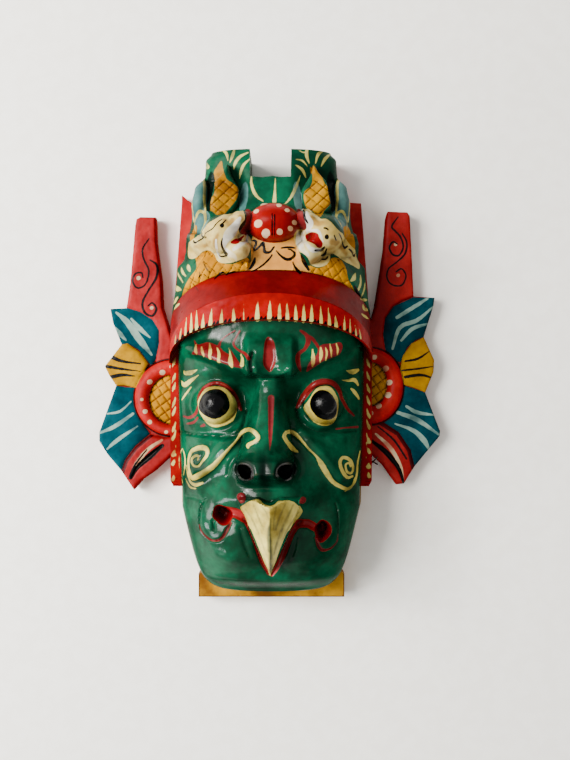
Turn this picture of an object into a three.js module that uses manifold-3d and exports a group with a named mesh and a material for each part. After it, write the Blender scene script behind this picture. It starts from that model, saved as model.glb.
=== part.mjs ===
// A carved and painted wooden mask of a green, beaked guardian with a dragon crown.
// Units are millimetres. X runs to the mask's right as a viewer sees it, Y from chin to crown
// and Z out of the face. The mask lies on its back, so its rear rim is in the plane Z = 0.

import * as THREE from "three";
import { mergeVertices } from "three/addons/utils/BufferGeometryUtils.js";
import loadManifold from "manifold-3d";

const manifold = await loadManifold();
manifold.setup();

// Driving dimensions of the head block
const crownTopY = 150;
const baseY = -150;
const flangeThickness = 14;
const bandHalfWidth = 67.5;
const bandHeight = 30;
const bandBottomY = -73;
const bandTopY = 40;
const bandWidth = 8;
const neckHalfWidth = 50;
const neckTopY = -134;
const neckStep = 3;
const flangeProud = 2.3;
const finTopY = 120;
const leftFinRise = 5.5;
const finTopHalfWidth = bandHalfWidth - 6;
const rimWidth = 9;

// Driving dimensions of the face
const faceTopHalfWidth = bandHalfWidth - 6;
const faceKneeHalfWidth = faceTopHalfWidth - 2.5;
const chinHalfWidth = 45.5;
const faceKneeY = -85;
const chinY = -141;
const chinPower = 6;
const faceEdgeZ = 34;
const eyeX = 34.3;
const eyeY = -17;
const eyeRadius = 12.5;
const pupilRadius = 9;
const eyeTopZ = 76;
const nostrilX = 12.5;
const noseLean = -2.9;
const nostrilY = -57;
const nostrilRadius = 4.8;
const mouthHoleDepth = 20;
const beakRootY = -75;
const beakTipY = -118.5;
const beakHalfWidth = 19;
const beakRidgeZ = 100;

// Driving dimensions of the brim and the crown
const brimHalfWidth = bandHalfWidth - 1;
const brimRidgeZ = 88;
const crownEdgeZ = 30;
const notchHalfWidth = 13.4;
const notchY = 131;
const emblemX = 2.5;
const pearlRadiusX = 16.6;
const pearlRadiusY = 12;

// Driving dimensions of the side boards
const boardBackZ = 3;
const boardThickness = 9;
const boardReach = 49.8;
const boardTopY = 115;
const fitGap = 0.3;
const ringRadiusY = 26.5;
const domeShare = 0.52;
const bevel = 1.2;

// The twisted wire ends that show under the right board
const wireRadius = 0.55;
const wireReach = 5;
const wireBore = 1.9;
const wireInset = 4;
const wireY = -57;
const wireZ = 19;

const { abs, cos, exp, hypot, max, min, PI, sin } = Math;

// Number helpers
const lerp = (a, b, t) => a + (b - a) * t;
const clamp = (v) => min(1, max(0, v));
const smooth = (v) => clamp(v) ** 2 * (3 - 2 * clamp(v));
const arch = (t, power) => max(0, 1 - min(1, abs(t)) ** power) ** (1 / power);

// A smooth curve through [position, value] pairs in rising order of position
function profile(pairs, at) {
  const last = pairs.length - 1;
  const i = max(1, pairs.findIndex(([p]) => p >= at) < 0 ? last : pairs.findIndex(([p]) => p >= at));
  const [[p0, v0], [p1, v1]] = [pairs[i - 1], pairs[i]];
  return lerp(v0, v1, smooth((at - p0) / (p1 - p0)));
}

// A soft hump centred on a point; a higher power makes its top flatter
function bump(x, y, cx, cy, rx, ry, height, power = 2) {
  return height * exp(-(hypot((x - cx) / rx, (y - cy) / ry) ** power));
}

// A soft ridge along the segment from a to b
function ridge(x, y, [ax, ay], [bx, by], width, height) {
  const [dx, dy] = [bx - ax, by - ay];
  const t = clamp(((x - ax) * dx + (y - ay) * dy) / (dx * dx + dy * dy));
  return height * exp(-(((x - ax - t * dx) ** 2 + (y - ay - t * dy) ** 2) / width ** 2));
}

// Solids and meshes
function toSolid(geometry) {
  const bare = geometry.clone();
  bare.deleteAttribute("normal");
  bare.deleteAttribute("uv");
  const merged = mergeVertices(bare, 1e-4);
  const faces = [];
  for (let i = 0; i < merged.index.count; i += 3) {
    const [a, b, c] = [0, 1, 2].map((k) => merged.index.getX(i + k));
    if (a !== b && b !== c && c !== a) faces.push(a, b, c);
  }
  const vertProperties = new Float32Array(merged.attributes.position.array);
  const build = (triVerts) =>
    new manifold.Manifold(
      new manifold.Mesh({ numProp: 3, vertProperties, triVerts: new Uint32Array(triVerts) }),
    );
  const solid = build(faces);
  return solid.volume() > 0 ? solid : build(faces.reverse());
}

function toGeometry(solid) {
  const mesh = solid.getMesh();
  const geometry = new THREE.BufferGeometry();
  geometry.setAttribute("position", new THREE.BufferAttribute(new Float32Array(mesh.vertProperties), 3));
  geometry.setIndex(new THREE.BufferAttribute(new Uint32Array(mesh.triVerts), 1));
  geometry.computeVertexNormals();
  return geometry;
}

const join = (solids) => solids.reduce((whole, piece) => whole.add(piece));

// A closed block under a grid of top points, down to the height floorZ
function gridSolid(rows, columns, topPoint, floorZ = 0) {
  const positions = [];
  for (const lift of [true, false])
    for (let r = 0; r <= rows; r++)
      for (let c = 0; c <= columns; c++) {
        const [x, y, z] = topPoint(r / rows, c / columns);
        positions.push(x, y, lift ? z : floorZ);
      }
  const at = (layer, r, c) => (layer * (rows + 1) + r) * (columns + 1) + c;
  const index = [];
  const quad = (a, b, c, d) => index.push(a, b, c, a, c, d);
  for (let r = 0; r < rows; r++)
    for (let c = 0; c < columns; c++) {
      quad(at(0, r, c), at(0, r, c + 1), at(0, r + 1, c + 1), at(0, r + 1, c));
      quad(at(1, r, c), at(1, r + 1, c), at(1, r + 1, c + 1), at(1, r, c + 1));
    }
  for (let c = 0; c < columns; c++) {
    quad(at(0, 0, c), at(1, 0, c), at(1, 0, c + 1), at(0, 0, c + 1));
    quad(at(0, rows, c), at(0, rows, c + 1), at(1, rows, c + 1), at(1, rows, c));
  }
  for (let r = 0; r < rows; r++) {
    quad(at(0, r, 0), at(0, r + 1, 0), at(1, r + 1, 0), at(1, r, 0));
    quad(at(0, r, columns), at(1, r, columns), at(1, r + 1, columns), at(0, r + 1, columns));
  }
  const geometry = new THREE.BufferGeometry();
  geometry.setAttribute("position", new THREE.Float32BufferAttribute(positions, 3));
  geometry.setIndex(index);
  return toSolid(geometry);
}

function ellipsoid([x, y, z], [rx, ry, rz], turn = 0, around = 14, down = 8) {
  const geometry = new THREE.SphereGeometry(1, around, down);
  geometry.rotateX(PI / 2).scale(rx, ry, rz).rotateZ(turn).translate(x, y, z);
  return toSolid(geometry);
}

// Points moved inwards from a closed outline that runs anticlockwise, by the same distance all round
function inset(points, distance) {
  return points.map(([x, y], i) => {
    const before = points.at(i - 1);
    const after = points[(i + 1) % points.length];
    const [ax, ay] = [x - before[0], y - before[1]];
    const [bx, by] = [after[0] - x, after[1] - y];
    const [la, lb] = [hypot(ax, ay), hypot(bx, by)];
    const [nx, ny] = [-ay / la - by / lb, ax / la + bx / lb];
    const reach = min(2 * distance, (2 * distance) / (nx * nx + ny * ny));
    return [x + nx * reach, y + ny * reach];
  });
}

// A plate with a given outline, from lowZ up to highZ, with its upper edge bevelled
function plate(points, lowZ, highZ, edge = bevel) {
  const area = THREE.ShapeUtils.area(points.map(([x, y]) => new THREE.Vector2(x, y)));
  const ring = area > 0 ? points : [...points].reverse();
  const upper = inset(ring, edge);
  const count = ring.length;
  const positions = [
    ...ring.flatMap(([x, y]) => [x, y, lowZ]),
    ...ring.flatMap(([x, y]) => [x, y, highZ - edge]),
    ...upper.flatMap(([x, y]) => [x, y, highZ]),
  ];
  const index = [];
  for (const level of [0, 1])
    for (let i = 0; i < count; i++) {
      const j = (i + 1) % count;
      const [a, b] = [level * count + i, level * count + j];
      index.push(a, b, b + count, a, b + count, a + count);
    }
  const cover = THREE.ShapeUtils.triangulateShape(ring.map(([x, y]) => new THREE.Vector2(x, y)), []);
  for (const [a, b, c] of cover) {
    index.push(c, b, a, a + 2 * count, b + 2 * count, c + 2 * count);
  }
  const geometry = new THREE.BufferGeometry();
  geometry.setAttribute("position", new THREE.Float32BufferAttribute(positions, 3));
  geometry.setIndex(index);
  return toSolid(geometry);
}

const onSide = (points, side) => points.map(([x, y]) => [side * x, y]);

// The head block's outlines

function faceHalfWidth(y) {
  if (y >= faceKneeY) {
    return lerp(faceKneeHalfWidth, faceTopHalfWidth, smooth((y - faceKneeY) / -faceKneeY));
  }
  const down = min(1, (faceKneeY - y) / (faceKneeY - chinY));
  return lerp(faceKneeHalfWidth, chinHalfWidth, down) * arch(down, chinPower);
}

// The straight taper of the block above the band, which the fins follow
function blockHalfWidth(y) {
  return lerp(bandHalfWidth, finTopHalfWidth, clamp((y - bandTopY) / (finTopY - bandTopY)));
}

function crownHalfWidth(y) {
  const shares = [
    [bandTopY, 0.993], [72, 0.947], [80, 0.872], [92, 0.827], [112, 0.79], [124, 0.752],
    [notchY, 0.669], [crownTopY - 5, 0.657], [crownTopY, 0.6],
  ];
  return min(brimHalfWidth * profile(shares, y), blockHalfWidth(min(y, finTopY)));
}

function footprint() {
  const side = [[neckHalfWidth, baseY], [neckHalfWidth, neckTopY]];
  const rows = 8;
  for (let i = 0; i <= rows; i++) {
    const y = lerp(neckTopY + 1, bandBottomY, i / rows);
    side.push([max(neckHalfWidth - neckStep, faceHalfWidth(y) + flangeProud), y]);
  }
  side.push([bandHalfWidth - 2, bandBottomY], [bandHalfWidth, bandBottomY + 5], [bandHalfWidth, bandTopY]);
  const rightFin = [[finTopHalfWidth, finTopY], [finTopHalfWidth - 7, finTopY]];
  const leftFin = [[7 - finTopHalfWidth, finTopY], [-finTopHalfWidth, finTopY + leftFinRise]];
  return [...side, ...rightFin, ...leftFin, ...onSide(side, -1).reverse()];
}

// The three arches that bound the brim, and how far it stands forward at a place across the head
const brimLowerY = (x) => 10 + 26 * arch(x / brimHalfWidth, 2.2);
const brimRidgeY = (x) => 16.8 + 35.2 * arch(x / brimHalfWidth, 2);
const brimUpperY = (x) => 30 + 38 * arch(x / brimHalfWidth, 2.4);
const brimForward = (x) => arch(x / (brimHalfWidth + 1), 2.3);

// The carved surface of the face, with each feature as a hump, ridge or hollow
const midline = [
  [chinY, 40], [-128, 60], [-112, 68], [-88, 70], [-50, 68], [-10, 67], [8, 76], [36, 76], [60, 74],
];

// The nose leans to one side on its way down
const noseCentre = (y) => noseLean * smooth((y - 2) / (nostrilY - 2));

function noseHeight(x, y) {
  const length = clamp((y - 2) / (nostrilY + 4));
  const width = lerp(8, 18, length);
  const rise = 7 + 24 * length ** 1.2;
  const ends = smooth((3 - y) / 5) * smooth((y - nostrilY + 12) / 12);
  return rise * ends * arch(x / width, 1.8);
}

function faceHeight(x, y) {
  const across = x / (faceHalfWidth(y) + 0.01);
  const side = abs(x);
  const rounding = max(0, 1 - min(1, abs(across)) ** 2.4) ** 0.55;
  let z = lerp(faceEdgeZ, profile(midline, y), rounding);
  z += ridge(side, y, [13, 4], [54, 19], y < 4 + 0.37 * (side - 13) ? 3.6 : 7, 8);
  z += 7 * smooth((18 - side) / 5) * smooth(y / 2.5) * smooth((30 - y) / 14);
  z += bump(side, y, eyeX + 2, eyeY, 21, 15, -7, 4) + bump(side, y, 18, -12, 7, 12, -7);
  z += 5 * exp(-(((hypot(side - eyeX, (y - eyeY) * 1.1) - eyeRadius - 1.5) / 3) ** 2));
  const fromNose = x - noseCentre(y);
  z += noseHeight(fromNose, y) + bump(abs(fromNose), y, nostrilX, nostrilY + 1, 12, 10, 9);
  z += bump(side, y, 0, -74, 27, 12, 13, 2.5);
  z += bump(side, y, 38, -48, 17, 14, 5) + ridge(side, y, [20, -34], [46, -62], 4, 4);
  z += bump(side, y, 43, -93, 10, 14, 4) + bump(side, y, 23, -107, 17, 18, 5, 3);
  return max(faceEdgeZ, z);
}

function buildFace() {
  const [rows, columns] = [36, 26];
  const topY = brimRidgeY(0) - 4;
  return gridSolid(rows, columns, (v, u) => {
    const y = lerp(chinY + 0.4, topY, v);
    const x = lerp(-1, 1, u) * faceHalfWidth(y);
    return [x, y, faceHeight(x, y)];
  });
}

function buildEye(side) {
  const ballZ = eyeTopZ - 14;
  const ball = ellipsoid([side * eyeX, eyeY, ballZ], [eyeRadius, eyeRadius, 12]);
  const pupil = ellipsoid([side * eyeX, eyeY + 1, ballZ + 5], [pupilRadius, pupilRadius, 9]);
  return ball.add(pupil);
}

// A roof-shaped beak: its ridge runs from the notched root to the tip
function buildBeak() {
  const [rows, columns] = [9, 8];
  return gridSolid(rows, columns, (v, u) => {
    const across = lerp(-1, 1, u);
    const notch = 4 * (1 - smooth(abs(across) * 2.2));
    const y = lerp(beakTipY, beakRootY - notch * v ** 6, v);
    const width = 0.6 + (beakHalfWidth - 0.6) * v ** 0.86;
    const crest = lerp(beakRidgeZ - 6, beakRidgeZ, sin(v * PI * 0.6));
    return [across * width, y, crest - lerp(9, 15, v) * abs(across) ** 1.2];
  }, faceEdgeZ);
}

function buildBrim() {
  const [rows, columns] = [20, 4];
  return gridSolid(rows, columns, (v, u) => {
    const x = lerp(-brimHalfWidth, brimHalfWidth, v);
    const forward = brimForward(x);
    const stations = [
      [brimLowerY(x), 33 + 50 * forward],
      [brimLowerY(x) + 0.4, 34 + 51 * forward],
      [brimRidgeY(x), lerp(bandHeight, brimRidgeZ, forward)],
      [brimUpperY(x), 28 + 42 * forward],
      [brimUpperY(x) + 2, 27 + 40 * forward],
    ];
    const [y, z] = stations[Math.round(u * columns)];
    return [x, y, z];
  });
}

function buildBand(side) {
  const inner = bandHalfWidth - bandWidth;
  const band = [
    [inner, bandBottomY + 3], [inner + 3, bandBottomY], [bandHalfWidth - 2, bandBottomY],
    [bandHalfWidth, bandBottomY + 5], [bandHalfWidth, bandTopY - 12], [inner, bandTopY - 2],
  ];
  return plate(onSide(band, side), 0, bandHeight);
}

// The crown: its green front, then what is carved on it
const crownLine = [
  [bandTopY, 60], [68, 71], [86, 67], [102, 60], [118, 54], [notchY, 50], [crownTopY, 46],
];

function crownHeight(x, y) {
  const rounding = max(0, 1 - min(1, abs(x / crownHalfWidth(y))) ** 3) ** 0.6;
  const z = lerp(crownEdgeZ, profile(crownLine, y), rounding);
  return z + bump(abs(x), y, 30, 121, 14, 19, -6, 4);
}

function buildCrown() {
  const [rows, columns] = [16, 20];
  const front = gridSolid(rows, columns, (v, u) => {
    const y = lerp(bandTopY, crownTopY, v);
    const x = lerp(-1, 1, u) * crownHalfWidth(y);
    return [x, y, crownHeight(x, y)];
  });
  const notchDepth = crownTopY - notchY + 2;
  const cut = new THREE.BoxGeometry(2 * notchHalfWidth, notchDepth, 4 * brimRidgeZ);
  return front.subtract(toSolid(cut.translate(0, notchY + notchDepth / 2, 0)));
}

// The scaly yellow horn in its hollow beside each prong
const hornOutline = [
  [28, 139], [31, 133], [36, 127], [37.5, 121], [39.5, 111], [34, 105], [28, 105],
  [22, 111], [20, 120], [22.5, 126], [26, 132],
];
const buildHorn = (side) => plate(onSide(hornOutline, side), crownEdgeZ, 57, 1.8);

function buildOvals(side) {
  const tall = ellipsoid([side * 46.5, 118, 36], [6, 14, 12], side * 0.12);
  return tall.add(ellipsoid([side * 44, 100, 40], [6.5, 9, 13], side * 0.2));
}

// A dragon's head in profile, with its mane swept back and its mouth open towards the pearl
function buildDragonHead(side) {
  const lump = (x, y, z, radii, turn) => ellipsoid([emblemX + side * x, y, z], radii, side * turn, 12, 7);
  const lumps = [
    lump(31, 91, 69, [13, 12, 17], 0), lump(22, 98, 69, [10, 6, 16], -0.5),
    lump(22, 79, 69, [8.5, 8, 16], 0.3), lump(44, 84, 52, [14, 6.5, 14], 0.55),
  ];
  return join(lumps).subtract(lump(14, 88, 88, [10, 4.5, 14], 0));
}

// A dragon's body, coiled along the top of the brim and tapering to the head's side
function buildDragonBody(side) {
  const [rows, columns] = [10, 6];
  return gridSolid(rows, columns, (v, u) => {
    const x = lerp(14, 64, v);
    const radius = lerp(5, 9.5, sin(PI * clamp(v * 1.15)));
    const y = brimUpperY(x) - 1 + radius * (1 + lerp(-1, 1, u));
    const drop = crownHeight(x, y) + 4.5 * cos(lerp(-0.5, 0.5, u) * PI);
    return [side * x, y, max(crownEdgeZ + 1, drop)];
  });
}

// The pearl between the dragons' mouths, on the panel that flares down to the brim
function buildPearl() {
  const panel = gridSolid(5, 4, (v, u) => {
    const y = lerp(56, 105, v);
    const half = lerp(29, 16, smooth(v * 1.2));
    return [emblemX + half * lerp(-1, 1, u), y, 71 - 4 * abs(lerp(-1, 1, u)) ** 2 - 3 * v];
  });
  return panel.add(ellipsoid([emblemX, 98, 69], [pearlRadiusX, pearlRadiusY, 17], 0, 18, 9));
}

// The hollow behind the face, open at the rear rim
const hollowTopY = 104;
const hollowBottomY = chinY + rimWidth;
const hollowDepths = [
  [hollowBottomY, 12], [-118, 36], [-90, 49], [-40, 52], [10, 50], [50, 47], [84, 36], [hollowTopY, 12],
];

function hollowHalfWidth(y) {
  const upper = smooth((y - 60) / (hollowTopY - 60));
  return faceKneeHalfWidth - rimWidth + 3 * smooth((y - faceKneeY) / 60) - 12 * upper;
}

function buildHollow() {
  const [rows, columns] = [14, 12];
  const below = -5;
  return gridSolid(rows, columns, (v, u) => {
    const y = lerp(hollowBottomY, hollowTopY, v);
    const across = lerp(-1, 1, u);
    const rounding = (1 - abs(across) ** 2.5) ** 0.6;
    const half = max(24, min(faceHalfWidth(y) - rimWidth, hollowHalfWidth(y)));
    return [across * half, y, lerp(8, profile(hollowDepths, y), rounding)];
  }, below);
}

// A round hole down the Z axis from highZ to lowZ
function drill([x, y], radius, lowZ, highZ, stretch = 1, sides = 14) {
  const geometry = new THREE.CylinderGeometry(radius, radius, highZ - lowZ, sides);
  geometry.rotateX(PI / 2).scale(1, stretch, 1).translate(x, y, (lowZ + highZ) / 2);
  return toSolid(geometry);
}

const mouthHoles = [
  { at: [-30.4, -87.2], radius: 6.2, stretch: 1 },
  { at: [33.6, -97], radius: 5, stretch: 1.4 },
];

function wireBoreSolid() {
  const geometry = new THREE.CylinderGeometry(wireBore, wireBore, 2 * wireInset, 12);
  return toSolid(geometry.rotateZ(PI / 2).translate(bandHalfWidth, wireY, wireZ));
}

function buildHead() {
  const sides = [-1, 1];
  const solids = [
    plate(footprint(), 0, flangeThickness, 0.8),
    buildFace(), buildBeak(), buildBrim(), buildCrown(), buildPearl(),
    ...sides.flatMap((side) => [
      buildEye(side), buildBand(side), buildHorn(side), buildOvals(side),
      buildDragonHead(side), buildDragonBody(side),
    ]),
  ];
  let head = join(solids).subtract(buildHollow()).subtract(wireBoreSolid());
  for (const side of sides) {
    const at = [noseCentre(nostrilY) + side * nostrilX, nostrilY];
    head = head.subtract(drill(at, nostrilRadius, -1, 2 * brimRidgeZ));
  }
  for (const { at, radius, stretch } of mouthHoles) {
    const mouthZ = faceHeight(...at);
    head = head.subtract(drill(at, radius, mouthZ - mouthHoleDepth, 2 * brimRidgeZ, stretch));
  }
  return head;
}

// The side boards, both drawn as on the right. Their points are shares of the board's reach, from its
// inner edge, and of its top height, and those inside that edge are cut off along the head's side.
// A feather's rise is its height above the board's face.
const boardInnerX = bandHalfWidth + fitGap;
const inside = -0.04;
const onBoard = (shares) => shares.map(([out, y]) => [boardInnerX + out * boardReach, y * boardTopY]);

const rightShapes = {
  ring: { centreY: -5.5, radiusX: 23 },
  outline: [
    [inside, -0.435], [0.165, -0.496], [0.326, -0.609], [0.445, -0.63], [0.627, -0.513], [1, -0.322],
    [1, -0.278], [0.767, -0.07], [0.888, 0.052], [0.868, 0.117], [0.737, 0.252], [0.837, 0.391],
    [0.877, 0.496], [0.61, 0.496], [0.582, 0.626], [0.526, 0.983], [0.486, 1], [0.245, 1],
    [0.213, 0.965], [0.152, 0.678], [0.084, 0.504], [0.03, 0.391], [inside, 0.287],
  ],
  feathers: [
    {
      rise: 1.5,
      points: [
        [0.627, 0.496], [0.877, 0.496], [0.837, 0.391], [0.737, 0.252], [0.546, 0.113], [0.326, 0.174],
        [0.225, 0.296], [0.265, 0.383], [0.425, 0.452],
      ],
    },
    {
      rise: 3,
      points: [
        [0.737, 0.252], [0.868, 0.117], [0.888, 0.052], [0.767, -0.07], [0.466, -0.043], [0.425, 0.07],
        [0.546, 0.165],
      ],
    },
    {
      rise: 1.5,
      points: [
        [0.767, -0.07], [1, -0.278], [1, -0.322], [0.627, -0.513], [0.486, -0.383], [0.265, -0.27],
        [0.405, -0.174], [0.466, -0.043],
      ],
    },
  ],
  lobe: [
    [inside, -0.252], [0.205, -0.27], [0.445, -0.383], [0.617, -0.517], [0.445, -0.63], [0.326, -0.609],
    [0.165, -0.496], [inside, -0.435],
  ],
  horn: [
    [inside, 0.174], [inside, 0.287], [0.03, 0.391], [0.084, 0.504], [0.152, 0.678], [0.213, 0.965], [0.245, 1],
    [0.486, 1], [0.526, 0.983], [0.582, 0.626], [0.61, 0.496], [0.405, 0.443], [0.255, 0.383],
    [0.215, 0.296], [0.306, 0.174],
  ],
};

const leftShapes = {
  ring: { centreY: -13.5, radiusX: 26.5 },
  outline: [
    [inside, -0.458], [0.247, -0.557], [0.42, -0.61], [0.542, -0.67], [0.713, -0.557], [0.904, -0.46],
    [1, -0.377], [1, -0.325], [0.789, -0.044], [0.888, 0.018], [0.946, 0.071], [0.713, 0.201],
    [0.835, 0.333], [0.869, 0.415], [0.663, 0.419], [0.592, 0.572], [0.524, 0.916], [0.506, 0.953],
    [0.456, 0.965], [0.241, 0.963], [0.231, 0.811], [0.161, 0.587], [0.145, 0.423], [inside, 0.22],
  ],
  feathers: [
    {
      rise: 1.5,
      points: [
        [0.663, 0.419], [0.869, 0.415], [0.835, 0.333], [0.713, 0.201], [0.524, 0.198], [0.35, 0.12],
        [0.197, 0.213], [0.197, 0.288], [0.283, 0.348], [0.456, 0.392],
      ],
    },
    {
      rise: 3,
      points: [
        [0.713, 0.201], [0.946, 0.071], [0.888, 0.018], [0.789, -0.044], [0.506, -0.057], [0.4, 0.03],
        [0.36, 0.1], [0.46, 0.18], [0.62, 0.225],
      ],
    },
    {
      rise: 1.5,
      points: [
        [0.789, -0.044], [1, -0.325], [1, -0.377], [0.904, -0.46], [0.713, -0.557], [0.524, -0.415],
        [0.333, -0.333], [0.456, -0.25], [0.524, -0.161], [0.506, -0.057],
      ],
    },
  ],
  lobe: [
    [inside, -0.3], [0.18, -0.335], [0.4, -0.36], [0.53, -0.41], [0.69, -0.55], [0.542, -0.67],
    [0.42, -0.61], [0.247, -0.557], [inside, -0.458],
  ],
  horn: [
    [inside, 0.1], [inside, 0.22], [0.145, 0.423], [0.161, 0.587], [0.231, 0.811], [0.241, 0.963], [0.456, 0.965],
    [0.506, 0.953], [0.524, 0.916], [0.592, 0.572], [0.663, 0.419], [0.45, 0.385], [0.275, 0.34],
    [0.187, 0.28], [0.187, 0.2], [0.26, 0.1],
  ],
};

// The half-round boss at the board's root: a scaly dome inside a raised ring
function buildBoss({ centreY, radiusX }, floorZ) {
  const [rows, columns] = [12, 8];
  return gridSolid(rows, columns, (v, u) => {
    const angle = lerp(-PI / 2, PI / 2, v);
    const dome = 5.5 * arch(u / domeShare, 2);
    const ring = 6.5 * arch((u - (1 + domeShare) / 2) / ((1 - domeShare) / 2), 2);
    const x = boardInnerX + inside * boardReach + u * (radiusX - inside * boardReach) * cos(angle);
    const y = centreY + u * ringRadiusY * sin(angle);
    return [x, y, floorZ + 0.5 + max(dome, ring)];
  }, boardBackZ);
}

function buildBoard({ ring, outline, feathers, lobe, horn }) {
  const topZ = boardBackZ + boardThickness;
  const pieces = [
    plate(onBoard(outline), boardBackZ, topZ, 0.6),
    plate(onBoard(horn), boardBackZ, topZ + 2.5),
    plate(onBoard(lobe), boardBackZ, topZ + 3, 2),
    ...feathers.map(({ points, rise }) => plate(onBoard(points), boardBackZ, topZ + rise)),
    buildBoss(ring, topZ),
  ];
  const headSide = new THREE.BoxGeometry(2 * boardInnerX, 4 * crownTopY, 4 * brimRidgeZ);
  return join(pieces).subtract(toSolid(headSide));
}

function buildWire() {
  const length = wireInset + wireReach - fitGap;
  const legs = [-1, 1].map((leg) => {
    const geometry = new THREE.CylinderGeometry(wireRadius, wireRadius, length, 8);
    geometry.rotateZ(PI / 2).translate(length / 2, 0, 0).rotateZ(-0.12);
    return toSolid(geometry.translate(0, leg * wireRadius * 1.6, 0));
  });
  const twist = new THREE.CylinderGeometry(wireRadius * 1.2, wireRadius * 1.2, wireRadius * 4.6, 8);
  legs.push(toSolid(twist.translate(wireInset, -wireRadius, 0)));
  return join(legs);
}

// The scene
const paint = (colour, roughness) => new THREE.MeshStandardMaterial({ color: colour, roughness, metalness: 0 });
const headPaint = paint(0x14653f, 0.3);
const boardPaint = paint(0xb02a2c, 0.55);
const wireFinish = new THREE.MeshStandardMaterial({ color: 0x2c241c, roughness: 0.5, metalness: 0.8 });

const mask = new THREE.Group();

const head = new THREE.Mesh(toGeometry(buildHead()), headPaint);
head.name = "mask_head";
mask.add(head);

const rightBoard = new THREE.Mesh(toGeometry(buildBoard(rightShapes)), boardPaint);
rightBoard.name = "side_board_right";
mask.add(rightBoard);

const leftBoard = new THREE.Mesh(toGeometry(buildBoard(leftShapes)), boardPaint);
leftBoard.name = "side_board_left";
leftBoard.scale.x = -1;
mask.add(leftBoard);

const wire = new THREE.Mesh(toGeometry(buildWire()), wireFinish);
wire.name = "tie_wire";
wire.position.set(bandHalfWidth - wireInset + fitGap, wireY, wireZ);
mask.add(wire);

export default mask;
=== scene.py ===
import math

import bpy
import numpy as np
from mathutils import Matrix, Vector


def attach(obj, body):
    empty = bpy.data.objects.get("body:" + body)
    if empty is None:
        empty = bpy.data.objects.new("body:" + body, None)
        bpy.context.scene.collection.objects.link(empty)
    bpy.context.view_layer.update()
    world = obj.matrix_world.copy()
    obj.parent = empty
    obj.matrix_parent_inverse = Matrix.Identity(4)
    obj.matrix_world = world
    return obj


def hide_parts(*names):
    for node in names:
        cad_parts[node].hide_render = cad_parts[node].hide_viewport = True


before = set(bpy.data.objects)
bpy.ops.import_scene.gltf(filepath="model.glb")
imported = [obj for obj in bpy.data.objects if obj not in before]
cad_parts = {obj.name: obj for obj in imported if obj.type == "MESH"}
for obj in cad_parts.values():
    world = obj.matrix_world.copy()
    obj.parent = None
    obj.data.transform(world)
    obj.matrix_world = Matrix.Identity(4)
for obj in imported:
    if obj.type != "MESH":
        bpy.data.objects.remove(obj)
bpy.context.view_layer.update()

MM = 0.001
FOCAL = 1000.0
VIEW_WIDTH, VIEW_HEIGHT = 570, 760
CAMERA = (9.3, -1.3, 700.0)

# Camera
camera = bpy.data.objects.new("camera", bpy.data.cameras.new("camera"))
camera.data.sensor_width = 36
camera.data.lens = 36 * FOCAL / VIEW_HEIGHT
camera.data.clip_start = 0.01
camera.location = [v * MM for v in CAMERA]
bpy.context.scene.collection.objects.link(camera)
bpy.context.scene.camera = camera


# Number helpers
def lerp(a, b, t):
    return a + (b - a) * t


def smooth(t):
    t = np.clip(t, 0, 1)
    return t * t * (3 - 2 * t)


def arch(t, power):
    return np.maximum(0, 1 - np.minimum(1, np.abs(t)) ** power) ** (1 / power)


def profile(pairs, at):
    at = np.asarray(at, float)
    places, values = np.array(pairs, float).T
    i = np.clip(np.searchsorted(places, at), 1, len(places) - 1)
    t = (at - places[i - 1]) / (places[i] - places[i - 1])
    return lerp(values[i - 1], values[i], smooth(t))


def bump(x, y, cx, cy, rx, ry, height, power=2):
    return height * np.exp(-(np.hypot((x - cx) / rx, (y - cy) / ry) ** power))


def segment(x, y, a, b):
    dx, dy = b[0] - a[0], b[1] - a[1]
    t = np.clip(((x - a[0]) * dx + (y - a[1]) * dy) / (dx * dx + dy * dy + 1e-9), 0, 1)
    return np.hypot(x - a[0] - t * dx, y - a[1] - t * dy), t


def ridge(x, y, a, b, width, height):
    return height * np.exp(-((segment(x, y, a, b)[0] / width) ** 2))


def waves(x, y, size, seed, layers=3):
    """A smooth wandering value between about -1 and 1."""
    total = np.zeros_like(x)
    for k in range(layers):
        for j in range(4):
            angle = 2.4 * j + 1.3 * k + seed
            across = x * math.cos(angle) + y * math.sin(angle)
            total += np.sin(across * 6.28 / size * 1.7**k + seed * (j + 2) + 5 * k) / (4 * 1.6**k)
    return total


# Outlines drawn as signed distances, in millimetres: positive inside
def spline(points, steps, closed=False):
    p = np.array(points, float)
    if closed:
        p = np.vstack([p[-1], p, p[0], p[1]])
    else:
        p = np.vstack([2 * p[0] - p[1], p, 2 * p[-1] - p[-2]])
    t = np.linspace(0, 1, steps, endpoint=False)[:, None]
    parts = []
    for i in range(1, len(p) - 2):
        a, b, c, d = p[i - 1 : i + 3]
        square, cube = 2 * a - 5 * b + 4 * c - d, 3 * b - a - 3 * c + d
        parts.append(0.5 * (2 * b + (c - a) * t + square * t**2 + cube * t**3))
    if not closed:
        parts.append(p[-2][None])
    return np.vstack(parts)


# The furthest distance that is kept
FAR = -6.0


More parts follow.
